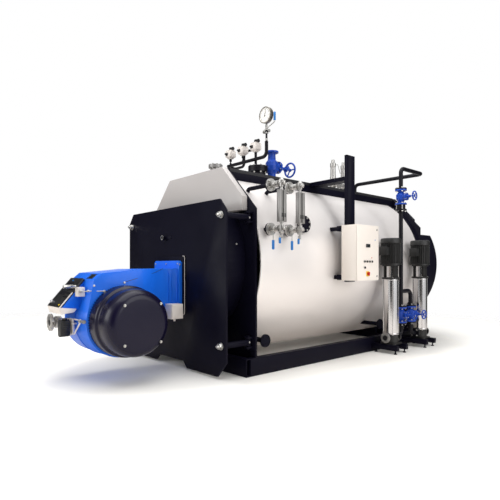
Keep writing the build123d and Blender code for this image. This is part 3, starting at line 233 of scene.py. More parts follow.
# %% The boiler's finishes
navy = finish("navy_enamel", "#0c0b19", rough=0.46, cloud=0.1, grain=0.12, grain_scale=160, shine=0.08)
fan_paint = finish("fan_enamel", "#110e26", rough=0.24, coat=0.04, grain=0.06,
                   grain_scale=160, rough_spread=0.04, shine=0.22)
pipe_black = finish("pipe_black", "#0e0d15", cloud=0.15, grain_scale=200, shine=0.2)
cladding = finish("cladding_sheet", "#eee9e6", metal=0.35, cloud=0.03, grain=0.14, grain_scale=60,
                  squeeze=(6.0, 0.25, 6.0), rough_spread=0.05)
hood_grey = finish("hood_grey", "#beb9b6", rough=0.42, coat=0.15, cloud=0.03, grain=0.2, grain_scale=300)
cabinet_cream = finish("cabinet_powder_coat", "#ebe3da", rough=0.5, cloud=0.02, grain=0.35, grain_scale=700)
burner_blue = finish("burner_blue", "#186ae4", coat=0.12, shine=0.2, cloud=0.08, grain=0.3, grain_scale=240)
valve_blue = finish("valve_blue", "#1743a8", coat=0.1, shine=0.25, cloud=0.12, cloud_scale=14,
                    grain=0.45, grain_scale=340, lift=0.0007)
grip_blue = finish("grip_blue", "#1672bd", rough=0.45, cloud=0.05, grain_scale=400)
cast_silver = finish("cast_silver", "#b4b2af", rough=0.34, metal=0.75, cloud=0.1, cloud_scale=18, grain=0.2,
                     grain_scale=420, lift=0.0008)
bright_steel = finish("bright_steel", "#d4d3d4", rough=0.14, metal=1, cloud=0.04, grain=0, rough_spread=0.02)
zinc = finish("zinc_fastener", "#b9b8b4", rough=0.33, metal=0.9, cloud=0.12, cloud_scale=40, grain_scale=500)
mill_steel = finish("mill_steel", "#6a6763", rough=0.55, metal=0.8, cloud=0.25, cloud_scale=9, grain=0.5,
                    grain_scale=120, lift=0.0012)
bezel_steel = finish("bezel_steel", "#8f8a82", rough=0.3, metal=0.9, grain=0.1, grain_scale=300)
bezel_chrome = finish("bezel_chrome", "#d5d5d8", rough=0.12, metal=1, cloud=0.04, grain=0.05, grain_scale=300)
dial_white = finish("dial_white", "#f2f0ea", rough=0.5, cloud=0.02, cloud_scale=30, grain_scale=600)
column_steel = finish("column_steel", "#8d8b89", rough=0.42, metal=0.5, cloud=0.05, grain=0.06)
column_glass = finish("column_glass", "#555452", rough=0.3, metal=0.4, cloud=0.1, grain=0.03)
dark_glass = finish("dark_glass", "#20262a", rough=0.1, coat=0.6, cloud=0.15, cloud_scale=12, grain=0.05)
lamp_red = finish("lamp_red", "#c21c14", rough=0.35, cloud_scale=30, grain_scale=600)
plate_yellow = finish("plate_yellow", "#e8c21a", cloud=0.05, cloud_scale=30, grain_scale=600)
tread = finish("walkway_tread", "#0e0d13", rough=0.6, cloud=0.6, cloud_scale=70, grain=0.9, grain_scale=90,
               lift=0.004)
cast_black = finish("cast_black", "#131313", rough=0.5, cloud=0.15, cloud_scale=12, grain=0.6, grain_scale=330,
                    lift=0.0009)
white_moulding = finish("white_moulding", "#e4ddd6", cloud=0.02, cloud_scale=8, grain_scale=600)
black_moulding = finish("black_moulding", "#141416", rough=0.38, cloud=0.1, cloud_scale=20, grain_scale=600)
print("finishes:", len(bpy.data.materials))

# %% [markdown]
# ## Carrying the finishes over
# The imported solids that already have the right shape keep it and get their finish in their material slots.
# A Weld joins their loose triangles and a Bevel rolls their sharp edges by a millimetre or two, because no
# sheet or casting has a knife edge, and that thin roll is what catches the light.


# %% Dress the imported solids
def dress(material, edge, *names):
    """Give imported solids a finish, and roll every edge sharper than 35 degrees to the edge radius."""
    for name in names:
        solid = nodes[name]
        solid.data.materials.clear()
        solid.data.materials.append(material)
        if edge:
            weld = solid.modifiers.new("weld", "WELD")
            weld.merge_threshold = 0.00005
            roll = solid.modifiers.new("edge_roll", "BEVEL")
            roll.width = edge
            roll.segments = 2
            roll.limit_method = "ANGLE"
            roll.angle_limit = radians(35)
            roll.harden_normals = True
            solid.data.shade_smooth()


dress(navy, 0.003, "base_beams", "base_cross_beams", "front_plate", "rear_plate",
      "rear_smokebox", "rear_hood", "top_platform", "cable_duct", "cabinet_rails", "pump_skid", "door_cover",
      "door_drum", "door_arms", "hinge_lugs", "burner_plate", "rear_end_ring", "flue_collar")
dress(fan_paint, 0.0, "fan_cover")
dress(navy, 0.0, "shell_nozzles")
dress(pipe_black, 0.0, "pressure_manifold", "feed_pipe", "feed_riser", "pump_pipes", "inspection_nozzle")
dress(cladding, 0.0, "shell_cladding")
dress(hood_grey, 0.004, "front_hood")
dress(cabinet_cream, 0.003, "cabinet_box", "cabinet_door")
dress(burner_blue, 0.004, "burner_housing")
dress(valve_blue, 0.0, "steam_valve", "steam_handwheel", "feed_valve", "feed_handwheel", "pump_valves",
      "pump_handwheel_1", "pump_handwheel_2")
dress(grip_blue, 0.001, "gauge_cock_lever", "level_gauge_lever_1", "level_gauge_lever_2")
dress(cast_silver, 0.0, "level_gauges", "safety_valves", "gas_train")
dress(column_steel, 0.0, "vent_nozzle")
dress(bright_steel, 0.0, "pump_sleeves", "pressure_gauge")
dress(mill_steel, 0.0, "furnace_tube", "blast_tube")
dress(zinc, 0.001, "door_nuts")
dress(cast_black, 0.0, "pump_bases", "pump_motors")
dress(white_moulding, 0.004, "burner_boxes", "pressure_switches", "actuator_bracket")
dress(black_moulding, 0.002, "cabinet_switches", "burner_console", "gas_actuator")
undressed = [name for name, solid in nodes.items() if not solid.data.materials or not solid.data.materials[0]]
print("solids without a finish:", undressed)

# %% [markdown]
# ## A small kit for turned, folded and bent metal
# Nearly every fitting on a boiler is made in one of four ways: turned on a lathe, cut from plate with its edges
# rolled, bent from bar or tube, or repeated round a bolt circle. Each way is a formula on a grid of points,
# worked out for the whole grid at once. Lengths are millimetres, as on a workshop drawing.

# %% Directions, and the rows that several pieces stand in
origin, upright, rearward, to_front, to_right = (0, 0, 0), (0, 0, 1), (0, 1, 0), (0, -1, 0), (1, 0, 0)
gauge_rows, valve_rows, pump_rows, pump_line = (140, 439), (2680, 2951), (2410, 3241), 1312
print("level gauges at y", gauge_rows, "and pumps at y", pump_rows)


# %% Grids into faces
def woven(points, close_across=False):
    """Quads of a grid P[i, j]: (i, j), (i, j+1), (i+1, j+1), (i+1, j), the last column joined to the first."""
    rows, columns = points.shape[:2]
    i = np.arange(rows - 1)[:, None] * columns
    j = np.arange(columns if close_across else columns - 1)[None, :]
    beside = (j + 1) % columns
    quads = np.stack([i + j, i + beside, i + columns + beside, i + columns + j], axis=-1)
    return points.reshape(-1, 3), quads.reshape(-1, 4)


def together(*shapes):
    """Several shapes as one: each shape's face numbers start after the points before it."""
    starts = np.cumsum([0] + [len(points) for points, _ in shapes])
    return (np.concatenate([points for points, _ in shapes]),
            np.concatenate([quads + start for (_, quads), start in zip(shapes, starts)]))


def copies(shape, places):
    """The shape moved to each place: P + place."""
    points, quads = shape
    places = np.asarray(places, float)
    moved = points[None] + places[:, None]
    shifts = np.arange(len(places))[:, None, None] * len(points)
    return moved.reshape(-1, 3), (quads[None] + shifts).reshape(-1, 4)


def square_to(axis):
    """Unit axis w, with two directions u and v square to it and to each other, level with the boiler's axes."""
    w = np.asarray(axis, float) / np.linalg.norm(axis)
    u = np.cross(upright if abs(w[2]) < 0.9 else rearward, w)
    u /= np.linalg.norm(u)
    return w, u, np.cross(w, u)


# %% The four ways
def turned(profile, place, axis, steps):
    """P(h, a) = place + h w + r(h) (u cos a + v sin a), from (radius, height) points. 6 steps make a hexagon.
    An end that stands off the axis is closed straight onto it, unless the profile comes back to its start."""
    w, u, v = square_to(axis)
    ring_shaped = np.allclose(profile[0], profile[-1])
    first, last = ([] if ring_shaped or end[0] == 0 else [(0, end[1])] for end in (profile[0], profile[-1]))
    radius, height = np.array([*first, *profile, *last], float).T
    angle = np.linspace(0, 2 * np.pi, steps, endpoint=False)[:, None]
    ring = u * np.cos(angle) + v * np.sin(angle)
    points = np.asarray(place, float) + height[:, None, None] * w + radius[:, None, None] * ring[None]
    return woven(points, close_across=True)


def eased(corners, radius, steps=4, closed=False):
    """Each corner P becomes (1-t)^2 A + 2 t (1-t) P + t^2 B, with A and B a radius back along its two sides."""
    corners = np.asarray(corners, float)
    t = np.linspace(0, 1, steps + 1)[None, :, None]

    def back(shift):
        side = np.roll(corners, shift, axis=0) - corners
        length = np.linalg.norm(side, axis=1, keepdims=True)
        return (corners + side * np.minimum(0.49, radius / np.maximum(length, 1e-6)))[:, None]

    curve = (1 - t) ** 2 * back(1) + 2 * t * (1 - t) * corners[:, None] + t ** 2 * back(-1)
    if closed:
        return curve.reshape(-1, corners.shape[1])
    return np.concatenate([corners[:1], curve[1:-1].reshape(-1, corners.shape[1]), corners[-1:]])


def slab(outline, place, across, up, thickness, roll):
    """P(k, q) = place + (q - inset_k n) in the plane + h_k w: inset roll (1 - sin b), height roll (1 - cos b)."""
    outline = np.asarray(outline, float)
    across, up = np.asarray(across, float), np.asarray(up, float)
    w = np.cross(across, up)
    along = np.roll(outline, -1, axis=0) - np.roll(outline, 1, axis=0)
    outward = np.stack([along[:, 1], -along[:, 0]], axis=1)
    outward /= np.maximum(np.linalg.norm(outward, axis=1, keepdims=True), 1e-9)
    b = np.linspace(0, np.pi / 2, 3)
    inset = roll * (1 - np.sin(b))
    lift = roll * (1 - np.cos(b))
    insets = np.concatenate([inset, inset[::-1]])
    heights = np.concatenate([lift, thickness - lift[::-1]])
    rings = outline[None] - insets[:, None, None] * outward[None]
    middle = np.broadcast_to(outline.mean(axis=0), (1, *outline.shape))
    rings = np.concatenate([middle, rings, middle])
    heights = np.concatenate([[0], heights, [thickness]])
    points = (np.asarray(place, float) + rings[..., :1] * across + rings[..., 1:] * up
              + heights[:, None, None] * w)
    return woven(points, close_across=True)


def plate(place, across, up, width, height, thickness, corner, roll=1):
    """A rectangle centred on the place, its corners rounded, carried along across x up."""
    half = np.array([[-width, -height], [width, -height], [width, height], [-width, height]]) / 2
    return slab(eased(half, corner, 3, closed=True), place, across, up, thickness, roll)


def block(low, high, corner, roll):
    """A rectangular block between two corners, standing up, with every edge rolled."""
    low, high = np.asarray(low, float), np.asarray(high, float)
    middle, size = (low + high) / 2, high - low
    return plate((middle[0], middle[1], low[2]), to_right, rearward, *size, corner, roll)


def bent(route, radius, steps=12):
    """P(s, a) = route(s) + r (n cos a + b sin a), with n and b square to the route, and closed at both ends."""
    route = np.asarray(route, float)
    along = np.gradient(route, axis=0)
    along /= np.linalg.norm(along, axis=1, keepdims=True)
    n = np.cross(along, (0.31, 0.52, 0.79))
    n /= np.linalg.norm(n, axis=1, keepdims=True)
    b = np.cross(along, n)
    angle = np.linspace(0, 2 * np.pi, steps, endpoint=False)[None, :, None]
    points = route[:, None] + radius * (n[:, None] * np.cos(angle) + b[:, None] * np.sin(angle))
    ends = np.broadcast_to(route[:, None], points.shape)
    return woven(np.concatenate([ends[:1], points, ends[-1:]]), close_across=True)


def ring_of(place, axis, radius, count):
    """count places on a bolt circle, the first half a step round, as flanges are drilled."""
    w, u, v = square_to(axis)
    angle = (np.arange(count) + 0.5)[:, None] * 2 * np.pi / count
    return np.asarray(place, float) + radius * (u * np.cos(angle) + v * np.sin(angle))


def bolting(place, axis, radius, count, low, high, size):
    """Studs through a flange pair whose outer faces lie at low and high along the axis, a hexagon nut on each."""
    w = square_to(axis)[0]
    nut = np.array([(0, 0), (1.55, 0), (1.8, 0.25), (1.8, 1.35), (1.55, 1.6), (0, 1.6)]) * size
    stud = np.array([(0, -2.3), (0.8, -2.3), (1, -2.1), (1, 2.1), (0.8, 2.3), (0, 2.3)]) * size
    stud[:3, 1] += low
    stud[3:, 1] += high
    one = together(turned(nut, low * w - 1.6 * size * w, axis, 6), turned(nut, high * w, axis, 6),
                   turned(stud, origin, axis, 8))
    return copies(one, ring_of(place, axis, radius, count))


def screw_heads(places, axis, radius):
    """Low domed screw heads standing on a face."""
    height = radius * 0.6
    head = turned([(radius, -0.5), (radius, height * 0.5), (radius * 0.7, height)], origin, axis, 10)
    return copies(head, places)


# %% From shapes to a finished piece
def piece(name, body, paint_slot, *dressed, stands_for=()):
    """Join rows of (finish, shape, ...) in one mesh, weld poles and seams, face it outwards, put it on a body."""
    shapes = [together(*row) for _, *row in dressed]
    points, quads = together(*shapes)
    finishes = np.repeat(np.arange(len(shapes)), [len(shape[1]) for shape in shapes])
    mesh = bpy.data.meshes.new(name)
    mesh.from_pydata((points * 0.001).tolist(), [], quads.tolist())
    for material, *_ in dressed:
        mesh.materials.append(material)
    mesh.polygons.foreach_set("material_index", finishes.astype(np.int32))
    work = bmesh.new()
    work.from_mesh(mesh)
    bmesh.ops.remove_doubles(work, verts=work.verts, dist=0.000002)
    bmesh.ops.recalc_face_normals(work, faces=work.faces)
    work.to_mesh(mesh)
    work.free()
    mesh.shade_smooth()
    mesh.set_sharp_from_angle(angle=radians(38))
    solid = bpy.data.objects.new(name, mesh)
    scene.collection.objects.link(solid)
    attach(solid, body)
    if stands_for:
        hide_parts(*stands_for)
    print(f"{name}: {len(mesh.polygons)} faces on {body}")


# %% [markdown]
# ## Flange bolting
# A pipe flange is only tight with all its studs in place, so every closed flange pair on the boiler gets its
# full ring: a zinc-plated stud through each drilled hole with a hexagon nut on both outer faces. One stud is
# made at the origin and copied round the bolt circle, which keeps all of them true to the drilling.

# %% Studs and nuts
shell_radius, shell_height, blind_height = 1155, 1272, 1736
blind_face = (shell_radius ** 2 - (blind_height - shell_height) ** 2) ** 0.5 + 28
# Each row: a point on the axis, the axis, bolt circle radius, count, the two outer faces, stud radius.
flange_pairs = [
    ((0, 1315, 0), upright, 80, 8, 2478, 2522, 7.5),  # steam valve, foot
    ((0, 1036, 0), upright, 118, 8, 2580, 2664, 8.5),  # inspection nozzle
    ((0, 271, 0), upright, 73, 8, 2529, 2569, 7),  # vent nozzle
    ((0, 2766, 0), upright, 62.5, 4, 2500, 2540, 8),  # first safety valve
    ((0, 3052, 0), upright, 62.5, 4, 2500, 2540, 8),  # second safety valve
    ((0, 787, blind_height), to_right, 80, 8, blind_face, blind_face + 40, 7.5),  # blind side nozzle
    ((pump_line, 2680, 0), upright, 62.5, 4, 2040, 2148, 7.5),  # feed valve, foot
    ((pump_line, 2680, 0), upright, 62.5, 4, 2330, 2370, 7.5),  # feed valve, top
    ((0, 1315, 2707), rearward, 82, 8, 112, 140, 6),  # steam valve, bonnet
    ((pump_line, 2680, 2239), to_right, 49, 4, 78, 98, 4.5),  # feed valve, bonnet
]
flange_pairs += [((0, y, z), to_right, 50, 4, 1162, 1202, 7.5) for y in gauge_rows for z in (1634, 2128)]
flange_pairs += [((pump_line, y, 0), upright, 62.5, 4, low, low + 40, 7.5)
                 for y in valve_rows for low in (380, 610)]
flange_pairs += [((pump_line, y, 515), to_right, 49, 4, 78, 98, 4.5) for y in valve_rows]
flange_pairs += [((pump_line, y, 216), (0, side, 0), 55, 4, 130, 168, 7) for y, side in zip(pump_rows, (1, -1))]
piece("flange_studs", "boiler", "bare_steel", (zinc, *(bolting(*pair) for pair in flange_pairs)))

# %% [markdown]
# ## Level gauges
# Each level gauge is a steel column bolted over a thick glass, which lies in a slot in the front cover between
# two raised cheeks. Short dark marks near its foot show the water. The cocks above and below carry hexagon
# packing nuts, and everything round is turned, since that is how cocks and nuts are really made.

# %% Glass, cheeks and packing nuts
column_line, glass_height = 1356, 1876.5
cock = [(30, 0), (34, 4), (34, 14), (27, 18), (24, 30), (27, 40), (33, 44), (33, 54), (26, 58)]
front_nut = [(22, 0), (26, 4), (26, 20), (20, 26), (12, 30)]
packing_nut = [(28, 0), (32, 5), (32, 20), (22, 30), (14, 44), (0, 46)]
lower_stub = [(20, 0), (20, 24), (15, 30), (15, 52), (20, 56), (20, 68)]
upper_stub = [(20, 0), (20, 14), (15, 22), (15, 40)]
gauge_glass, gauge_column, gauge_metal, gauge_dark = [], [], [], []
for y in gauge_rows:
    front = column_line + 21.5
    for side in (-1, 1):
        gauge_column += [
            plate((front, y + side * 30.5, glass_height), rearward, upright, 36, 348, 9, 3, 2),
            plate((column_line, y + side * 47.9, glass_height), (0, 0, side), to_right, 348, 42, 4, 2)]
    gauge_glass.append(plate((front, y, glass_height), rearward, upright, 24, 330, 5, 3, 0.8))
    gauge_dark += [plate((front + 6, y + step, 1775), rearward, upright, 14, 44, 4, 2, 0.3)
                   for step in (-22, 8, 30)]
    for z, nut_height in ((1634, 1576), (2128, 2140)):
        gauge_metal += [turned(cock, (1220, y, z), to_right, 20), turned(front_nut, (1380, y, z), to_right, 6),
                        turned(packing_nut, (column_line, y, nut_height), upright, 6)]
    gauge_metal += [turned(lower_stub, (column_line, y, 1634), upright, 16),
                    turned(upper_stub, (column_line, y, 2050), upright, 16)]
piece("gauge_fronts", "boiler", "cast_silver", (cast_silver, *gauge_metal), (column_steel, *gauge_column),
      (column_glass, *gauge_glass), (black_moulding, *gauge_dark))
drain_grip = turned([(0, 0), (9, 1), (13, 6), (13, 58), (9, 64), (0, 65)], origin, upright, 14)
piece("gauge_drain_grips", "boiler", "valve_blue",
      (grip_blue, copies(drain_grip, [(column_line, y - 26, 1466.5) for y in gauge_rows])))


# %% Lever arms and their dipped grips
def dipped_lever(name, node, hub, route, grip_from, grip_to, thick, rod=5):
    """A flat-ended steel rod with a hexagon nut on its hub and a plastic grip dipped over its last stretch."""
    hub_shape = turned([(14.5, 0), (14.5, 10), (11, 12)], hub, to_front, 20)
    nut = turned([(9, 0), (9, 6), (7.5, 7.5)], np.asarray(hub) - (0, 12, 0), to_front, 6)
    grip_line = np.asarray(grip_to, float) - np.asarray(grip_from, float)
    length = np.linalg.norm(grip_line)
    profile = [(0, 0), (thick * 0.8, 0.5), (thick, 5), (thick, length - 10), (thick * 0.8, length - 2),
               (thick * 0.5, length)]
    piece(name, node, "valve_blue", (zinc, hub_shape, nut, bent(eased(route, 14), rod)),
          (grip_blue, turned(profile, grip_from, grip_line, 16)), stands_for=(node,))


for index, y in enumerate(gauge_rows, 1):
    arm = y - 56.3
    dipped_lever(f"drain_lever_{index}", f"level_gauge_lever_{index}", (1284, y - 50.3, 1634),
                 [(1284, arm, 1634), (1284, arm, 1560), (1284, arm, 1404)],
                 (1284, arm, 1506), (1284, arm, 1402), 15)
dipped_lever("gauge_lever", "gauge_cock_lever", (282, 903.7, 3089),
             [(282, 897.7, 3089), (482, 897.7, 3169), (482, 897.7, 3300)],
             (482, 897.7, 3186), (482, 897.7, 3301), 16, 7.5)

# %% [markdown]
# ## Pressure gauge and its cock
# The dial is a drawn steel case with a polished bezel, a white printed face and a thin black pointer. The
# face carries a plain scale over three quarters of a turn. Ticks and pointer are thin plates just proud of
# the face, because a printed mark has an edge only when it is seen this near.

# %% Case, bezel and face
gauge_at = np.array([282, 908, 3310])
bezel = turned([(98, -4), (112, -4), (114.6, -2), (114.6, 3), (112, 6), (105, 7), (100, 4), (98, 0), (98, -4)],
               gauge_at, to_front, 48)
case = turned([(98, -61), (108, -57), (112, -50), (112, -3)], gauge_at, to_front, 48)
face = turned([(99, -3.5), (99, 1)], gauge_at, to_front, 48)
print("dial centre at", gauge_at, "mm")

# %% Scale and pointer
sweep = np.radians(np.linspace(225, -45, 41))
long_tick = np.arange(len(sweep)) % 5 == 0
tick_radius, tick_width = np.where(long_tick, 82, 86), np.where(long_tick, 3, 1.4)
tick_length = np.where(long_tick, 14, 7)
ticks = together(*(plate(gauge_at + (radius * np.cos(angle), -1.8, radius * np.sin(angle)),
                         (np.sin(angle), 0, -np.cos(angle)), (np.cos(angle), 0, np.sin(angle)),
                         width, length, 0.9, 0.3, 0.1)
                   for angle, radius, width, length in zip(sweep, tick_radius, tick_width, tick_length)))
pointing = np.radians(78)
pointer_outline = [(-4, -24), (4, -24), (4.5, 0), (1.6, 74), (-1.6, 74), (-4.5, 0)]
pointer = slab(pointer_outline, gauge_at - (0, 3.4, 0), (np.sin(pointing), 0, -np.cos(pointing)),
               (np.cos(pointing), 0, np.sin(pointing)), 1.2, 0.2)
boss = turned([(8, 0), (8, 5.5), (6, 6.5)], gauge_at, to_front, 20)
print("ticks:", len(sweep), "of which long:", int(long_tick.sum()))

# %% Cock, tail pieces and stem
cock_line, manifold_line = 282, 938
tail = [(17, 0), (17, 20), (24, 24), (24, 34)]
cock_body = together(
    turned([(24, 0), (27, 4), (27, 20), (22, 26), (22, 40), (27, 44), (27, 58), (20, 64)],
           (cock_line, manifold_line, 3058), upright, 6),
    turned(tail, (cock_line + 24, manifold_line, 3089), to_right, 6),
    turned(tail, (cock_line - 24, manifold_line, 3089), (-1, 0, 0), 6),
    turned([(16, 0), (18, 3), (18, 24), (15, 28)], (cock_line, manifold_line, 3130), upright, 6),
    turned([(16, 0), (18, 3), (18, 30), (14, 34), (14, 90)], (cock_line, manifold_line, 2960), upright, 6))
stem = turned([(17, 0), (17, 18), (13, 22), (13, 40)], (cock_line, manifold_line, 3158), upright, 12)
piece("dial_gauge", "boiler", "bare_steel", (bezel_steel, bezel, case), (dial_white, face),
      (black_moulding, ticks, pointer, boss), (zinc, cock_body, stem), stands_for=("pressure_gauge",))

# %% [markdown]
# ## Pressure switches
# Three identical switches sit on the manifold: an off-white moulded body on a hexagon neck, a black adjusting
# knob on its lid and a black cable gland on its side. The knob is ribbed, which a lathe profile can't be, so
# its radius rises and falls round the turn. The same formula makes the cooling ribs of the pump motors.


# %% Ribbed turnings
def ribbed(profile, place, ribs, sharp=1, axis=upright):
    """P(h, a) = place + h w + (r + d clip(sharp cos(n a), -1, 1)) (u cos a + v sin a), from (r, d, h) points."""
    w, u, v = square_to(axis)
    angle = np.linspace(0, 2 * np.pi, ribs * 8, endpoint=False)
    radius, depth, height = np.asarray(profile, float).T[..., None, None]
    reach = radius + depth * np.clip(sharp * np.cos(ribs * angle), -1, 1)[None, :, None]
    ring = u * np.cos(angle)[:, None] + v * np.sin(angle)[:, None]
    return woven(np.asarray(place, float) + height * w + reach * ring, close_across=True)


# %% Three switches
manifold_height = 2746
base = manifold_height + 92 + 5.3
knob_profile = [(0, 0, 0), (27, 2.2, 0), (30, 2.5, 4), (30, 2.5, 38), (26, 2, 46), (0, 0, 46)]
knob_arm = [(19, 0), (19, 20), (25, 23), (25, 50)]
gland = [(19, 0), (19, 12), (14, 16), (14, 28), (10, 31)]
neck_nut = [(18, 0), (20, 3), (20, 24), (17, 27)]
foot_nut = [(14, 0), (16, 3), (16, 15), (13, 18)]
knobs, switch_bodies, hexes = [], [], []
for x in (-504, -217, 60):
    switch_bodies += [
        plate((x, manifold_line, base + 30), to_right, rearward, 116, 116, 84, 6, 3),
        plate((x, manifold_line, base + 114), to_right, rearward, 108, 108, 16, 8, 4)]
    knobs += [ribbed(knob_profile, (x + 14, manifold_line, base + 128), 12),
              turned(knob_arm, (x + 14, manifold_line, base + 154), to_right, 12),
              plate((x - 20, 880.8, base + 70), to_right, upright, 52, 46, 3, 5, 1),
              turned(gland, (x - 24, 878, base + 72), to_front, 6)]
    hexes += [turned(neck_nut, (x, manifold_line, base - 34), upright, 6),
              turned(foot_nut, (x, manifold_line, 2768), upright, 6)]
piece("switch_fittings", "boiler", "white_plastic", (white_moulding, *switch_bodies),
      (black_moulding, *knobs), (pipe_black, *hexes))

# %% [markdown]
# ## Handwheels
# A cast handwheel has a full round rim that fills the hand, round spokes, and a hub with a hexagon nut on its
# end. Rim and hub come from the lathe, and the spokes are bars between them.


# %% Rims, spokes and hubs
def cast_wheel(name, node, place, axis, radius, rim, spokes, hub, hub_length, nose=0):
    """A rim of round section at radius - rim, its spokes as bars, and a hub centred on the place."""
    w, u, v = square_to(axis)
    a = np.linspace(0, 2 * np.pi, 17)
    ring = turned(np.stack([radius - rim + rim * np.cos(a), rim * np.sin(a)], axis=1), place, axis, 56)
    turns = (np.arange(spokes) + 0.5) * 2 * np.pi / spokes
    outwards = np.linspace(hub * 0.5, radius - rim, 6)[:, None]
    arms = [bent(np.asarray(place) + outwards * (u * np.cos(t) + v * np.sin(t)), rim * 0.75, 10) for t in turns]
    half = hub_length / 2
    boss = turned([(hub - 2, -half), (hub, -half + 2), (hub, half - 2), (hub - 2, half)], place, axis, 28)
    nut = turned([(hub * 0.6, half - 1), (hub * 0.6, half + 5), (hub * 0.5, half + 7)], place, axis, 6)
    cast = [ring, boss, *arms]
    if nose:
        cast.append(turned([(11, -nose), (11, nose)], place, axis, 16))
    piece(name, node, "valve_blue", (valve_blue, *cast), (zinc, nut), stands_for=(node,))


cast_wheel("steam_wheel", "steam_handwheel", (0, 1705, 2707), rearward, 119, 14, 3, 24, 30, 28)
cast_wheel("feed_wheel", "feed_handwheel", (1527, 2680, 2239), to_right, 70, 9, 4, 15, 18)
for index, y in enumerate(valve_rows, 1):
    cast_wheel(f"pump_wheel_{index}", f"pump_handwheel_{index}", (1527, y, 515), to_right, 70, 9, 4, 15, 18)

# %% [markdown]
# ## Burner housing trim
# The blower scroll is pressed sheet with a lid along its top. The lid's edge shows as a thin dark seam that
# climbs towards the boiler, held by pan-head screws. A small inspection window is let into the slope above the
# console, and the head that meets the door has two pressed ribs down its side. A thin white strip runs along
# the edge of the burner plate behind the head: a painted highlight, standing in for the thin bright line of light
# on that edge.

# %% Lid seam and screws
seam_line = eased([(306, -1196, 1045), (306, -1056, 1081), (300, -985, 1099), (247.2, -776, 1150),
                   (247.2, -674, 1194)], 20)
lid_seam = bent(seam_line, 2.2, 8)
screws = together(
    screw_heads([(305, -1179, 1044), (305, -1512, 1019)], to_right, 12),
    screw_heads([(282, -470, 1240), (282, -470, 700)], to_right, 10),
    screw_heads([(-250, -484, 1250), (250, -484, 1250), (0, -484, 1250)], to_front, 11))
print("lid seam of", len(seam_line), "points")

# %% Window, ribs and the painted highlight on the plate's edge
slope_up = np.array([0, 83, 71]) / np.hypot(83, 71)
slope_out = np.cross(to_right, slope_up)
window_middle = np.array([150, -1471.5, 1110.5])
window = plate(window_middle - 2 * slope_out, to_right, slope_up, 168, 74, 4, 10, 1)
window_sides = [[(-86, -39), (86, -39)], [(-86, 39), (86, 39)], [(-86, -39), (-86, 39)], [(86, -39), (86, 39)]]
window_frame = [bent(window_middle + np.array(side) @ np.array([to_right, slope_up]), 3.2, 8)
                for side in window_sides]
ribs = [bent(eased([(246, y, 742), (250.5, y, 760), (250.5, y, 1140), (246, y, 1158)], 14), 6, 10)
        for y in (-560, -600)]
# Painted highlight: a thin white strip round the burner plate's edge, standing in for the light that edge catches.
painted_highlight_edge = bent(eased([(285, -433, 1340), (327, -433, 1340), (327, -433, 654), (285, -433, 654)], 28, 8),
                 3.4, 10)
piece("burner_trim", "front_door", "burner_blue", (burner_blue, *ribs, *window_frame), (zinc, screws),
      (dark_glass, window), (black_moulding, lid_seam), (white_moulding, painted_highlight_edge))

# %% [markdown]
# ## Fan cover
# The dark cover over the fan is a deep spun pressing held by four bolts. Its profile runs from a broad rim over
# a soft waist to a domed edge and a flat face. Air enters round its rim through a comb of narrow slots: the rim
# is drawn as a ring of square teeth, and the blue scroll shows at the bottom of the gaps.

# %% Spun cover
fan_middle = (0, -1201, 642)
cover = turned([(368, 330), (373, 335), (373, 452), (371, 468), (364, 481), (354, 490), (350, 500),
                (349, 520), (349, 560), (347, 600), (343, 632), (335, 662), (323, 688), (307, 708), (287, 721),
                (264, 727), (240, 728)], fan_middle, to_right, 96)
print("cover faces:", len(cover[1]))

# %% Combs, slot floor and four bolts
comb = together(
    ribbed([(340, 0, 306), (360, 12, 306), (360, 12, 331), (340, 0, 331), (340, 0, 306)], fan_middle, 84, 3,
           to_right),
    ribbed([(360, 0, 338), (371, 4, 342), (371, 4, 398), (360, 0, 402), (360, 0, 338)], fan_middle, 110, 2,
           to_right))
slot_floor = turned([(341, 306), (354, 306), (354, 331), (341, 331), (341, 306)], fan_middle, to_right, 96)
fan_bolt = turned([(12, -1), (12, 1.5), (10, 2), (11, 2.5), (11, 8), (9.5, 9.5)], origin, to_right, 6)
fan_washer = turned([(15, -1), (15, 1.4), (14, 2.2)], origin, to_right, 20)
bolt_places = [(728, -1181.5 + across, 639 + up) for across in (-199, 199) for up in (-196, 196)]
piece("fan_hood", "front_door", "black_paint", (fan_paint, cover, comb), (burner_blue, slot_floor),
      (zinc, copies(fan_bolt, bolt_places), copies(fan_washer, bolt_places)), stands_for=("fan_cover",))

# %% [markdown]
# ## Burner console, servo box and gas train
# The console is a black keypad panel on a blue wedge of the housing, with a cream tray under its lower edge.
# Beside it a small white servo box turns the air flap through a thin rod. The gas valve below carries a black
# actuator with cooling ribs, on a folded white bracket with a light strut, and the round supply flange has a
# raised sealing face round its bore.

# %% A place on the sloping panel
nose, brow = np.array([0, -1783, 798]), np.array([0, -1530, 1093])
panel_length = np.linalg.norm(brow - nose)
rise = (brow - nose) / panel_length
panel_out = np.cross(to_right, rise)
panel_depth = 26
print("panel length", round(panel_length, 1), "mm")


def on_panel(x, share, proud=0):
    """A place on the console's sloping panel, share 0 at its nose and 1 at its brow."""
    return nose + share * (brow - nose) + np.array([x, 0, 0]) + proud * panel_out


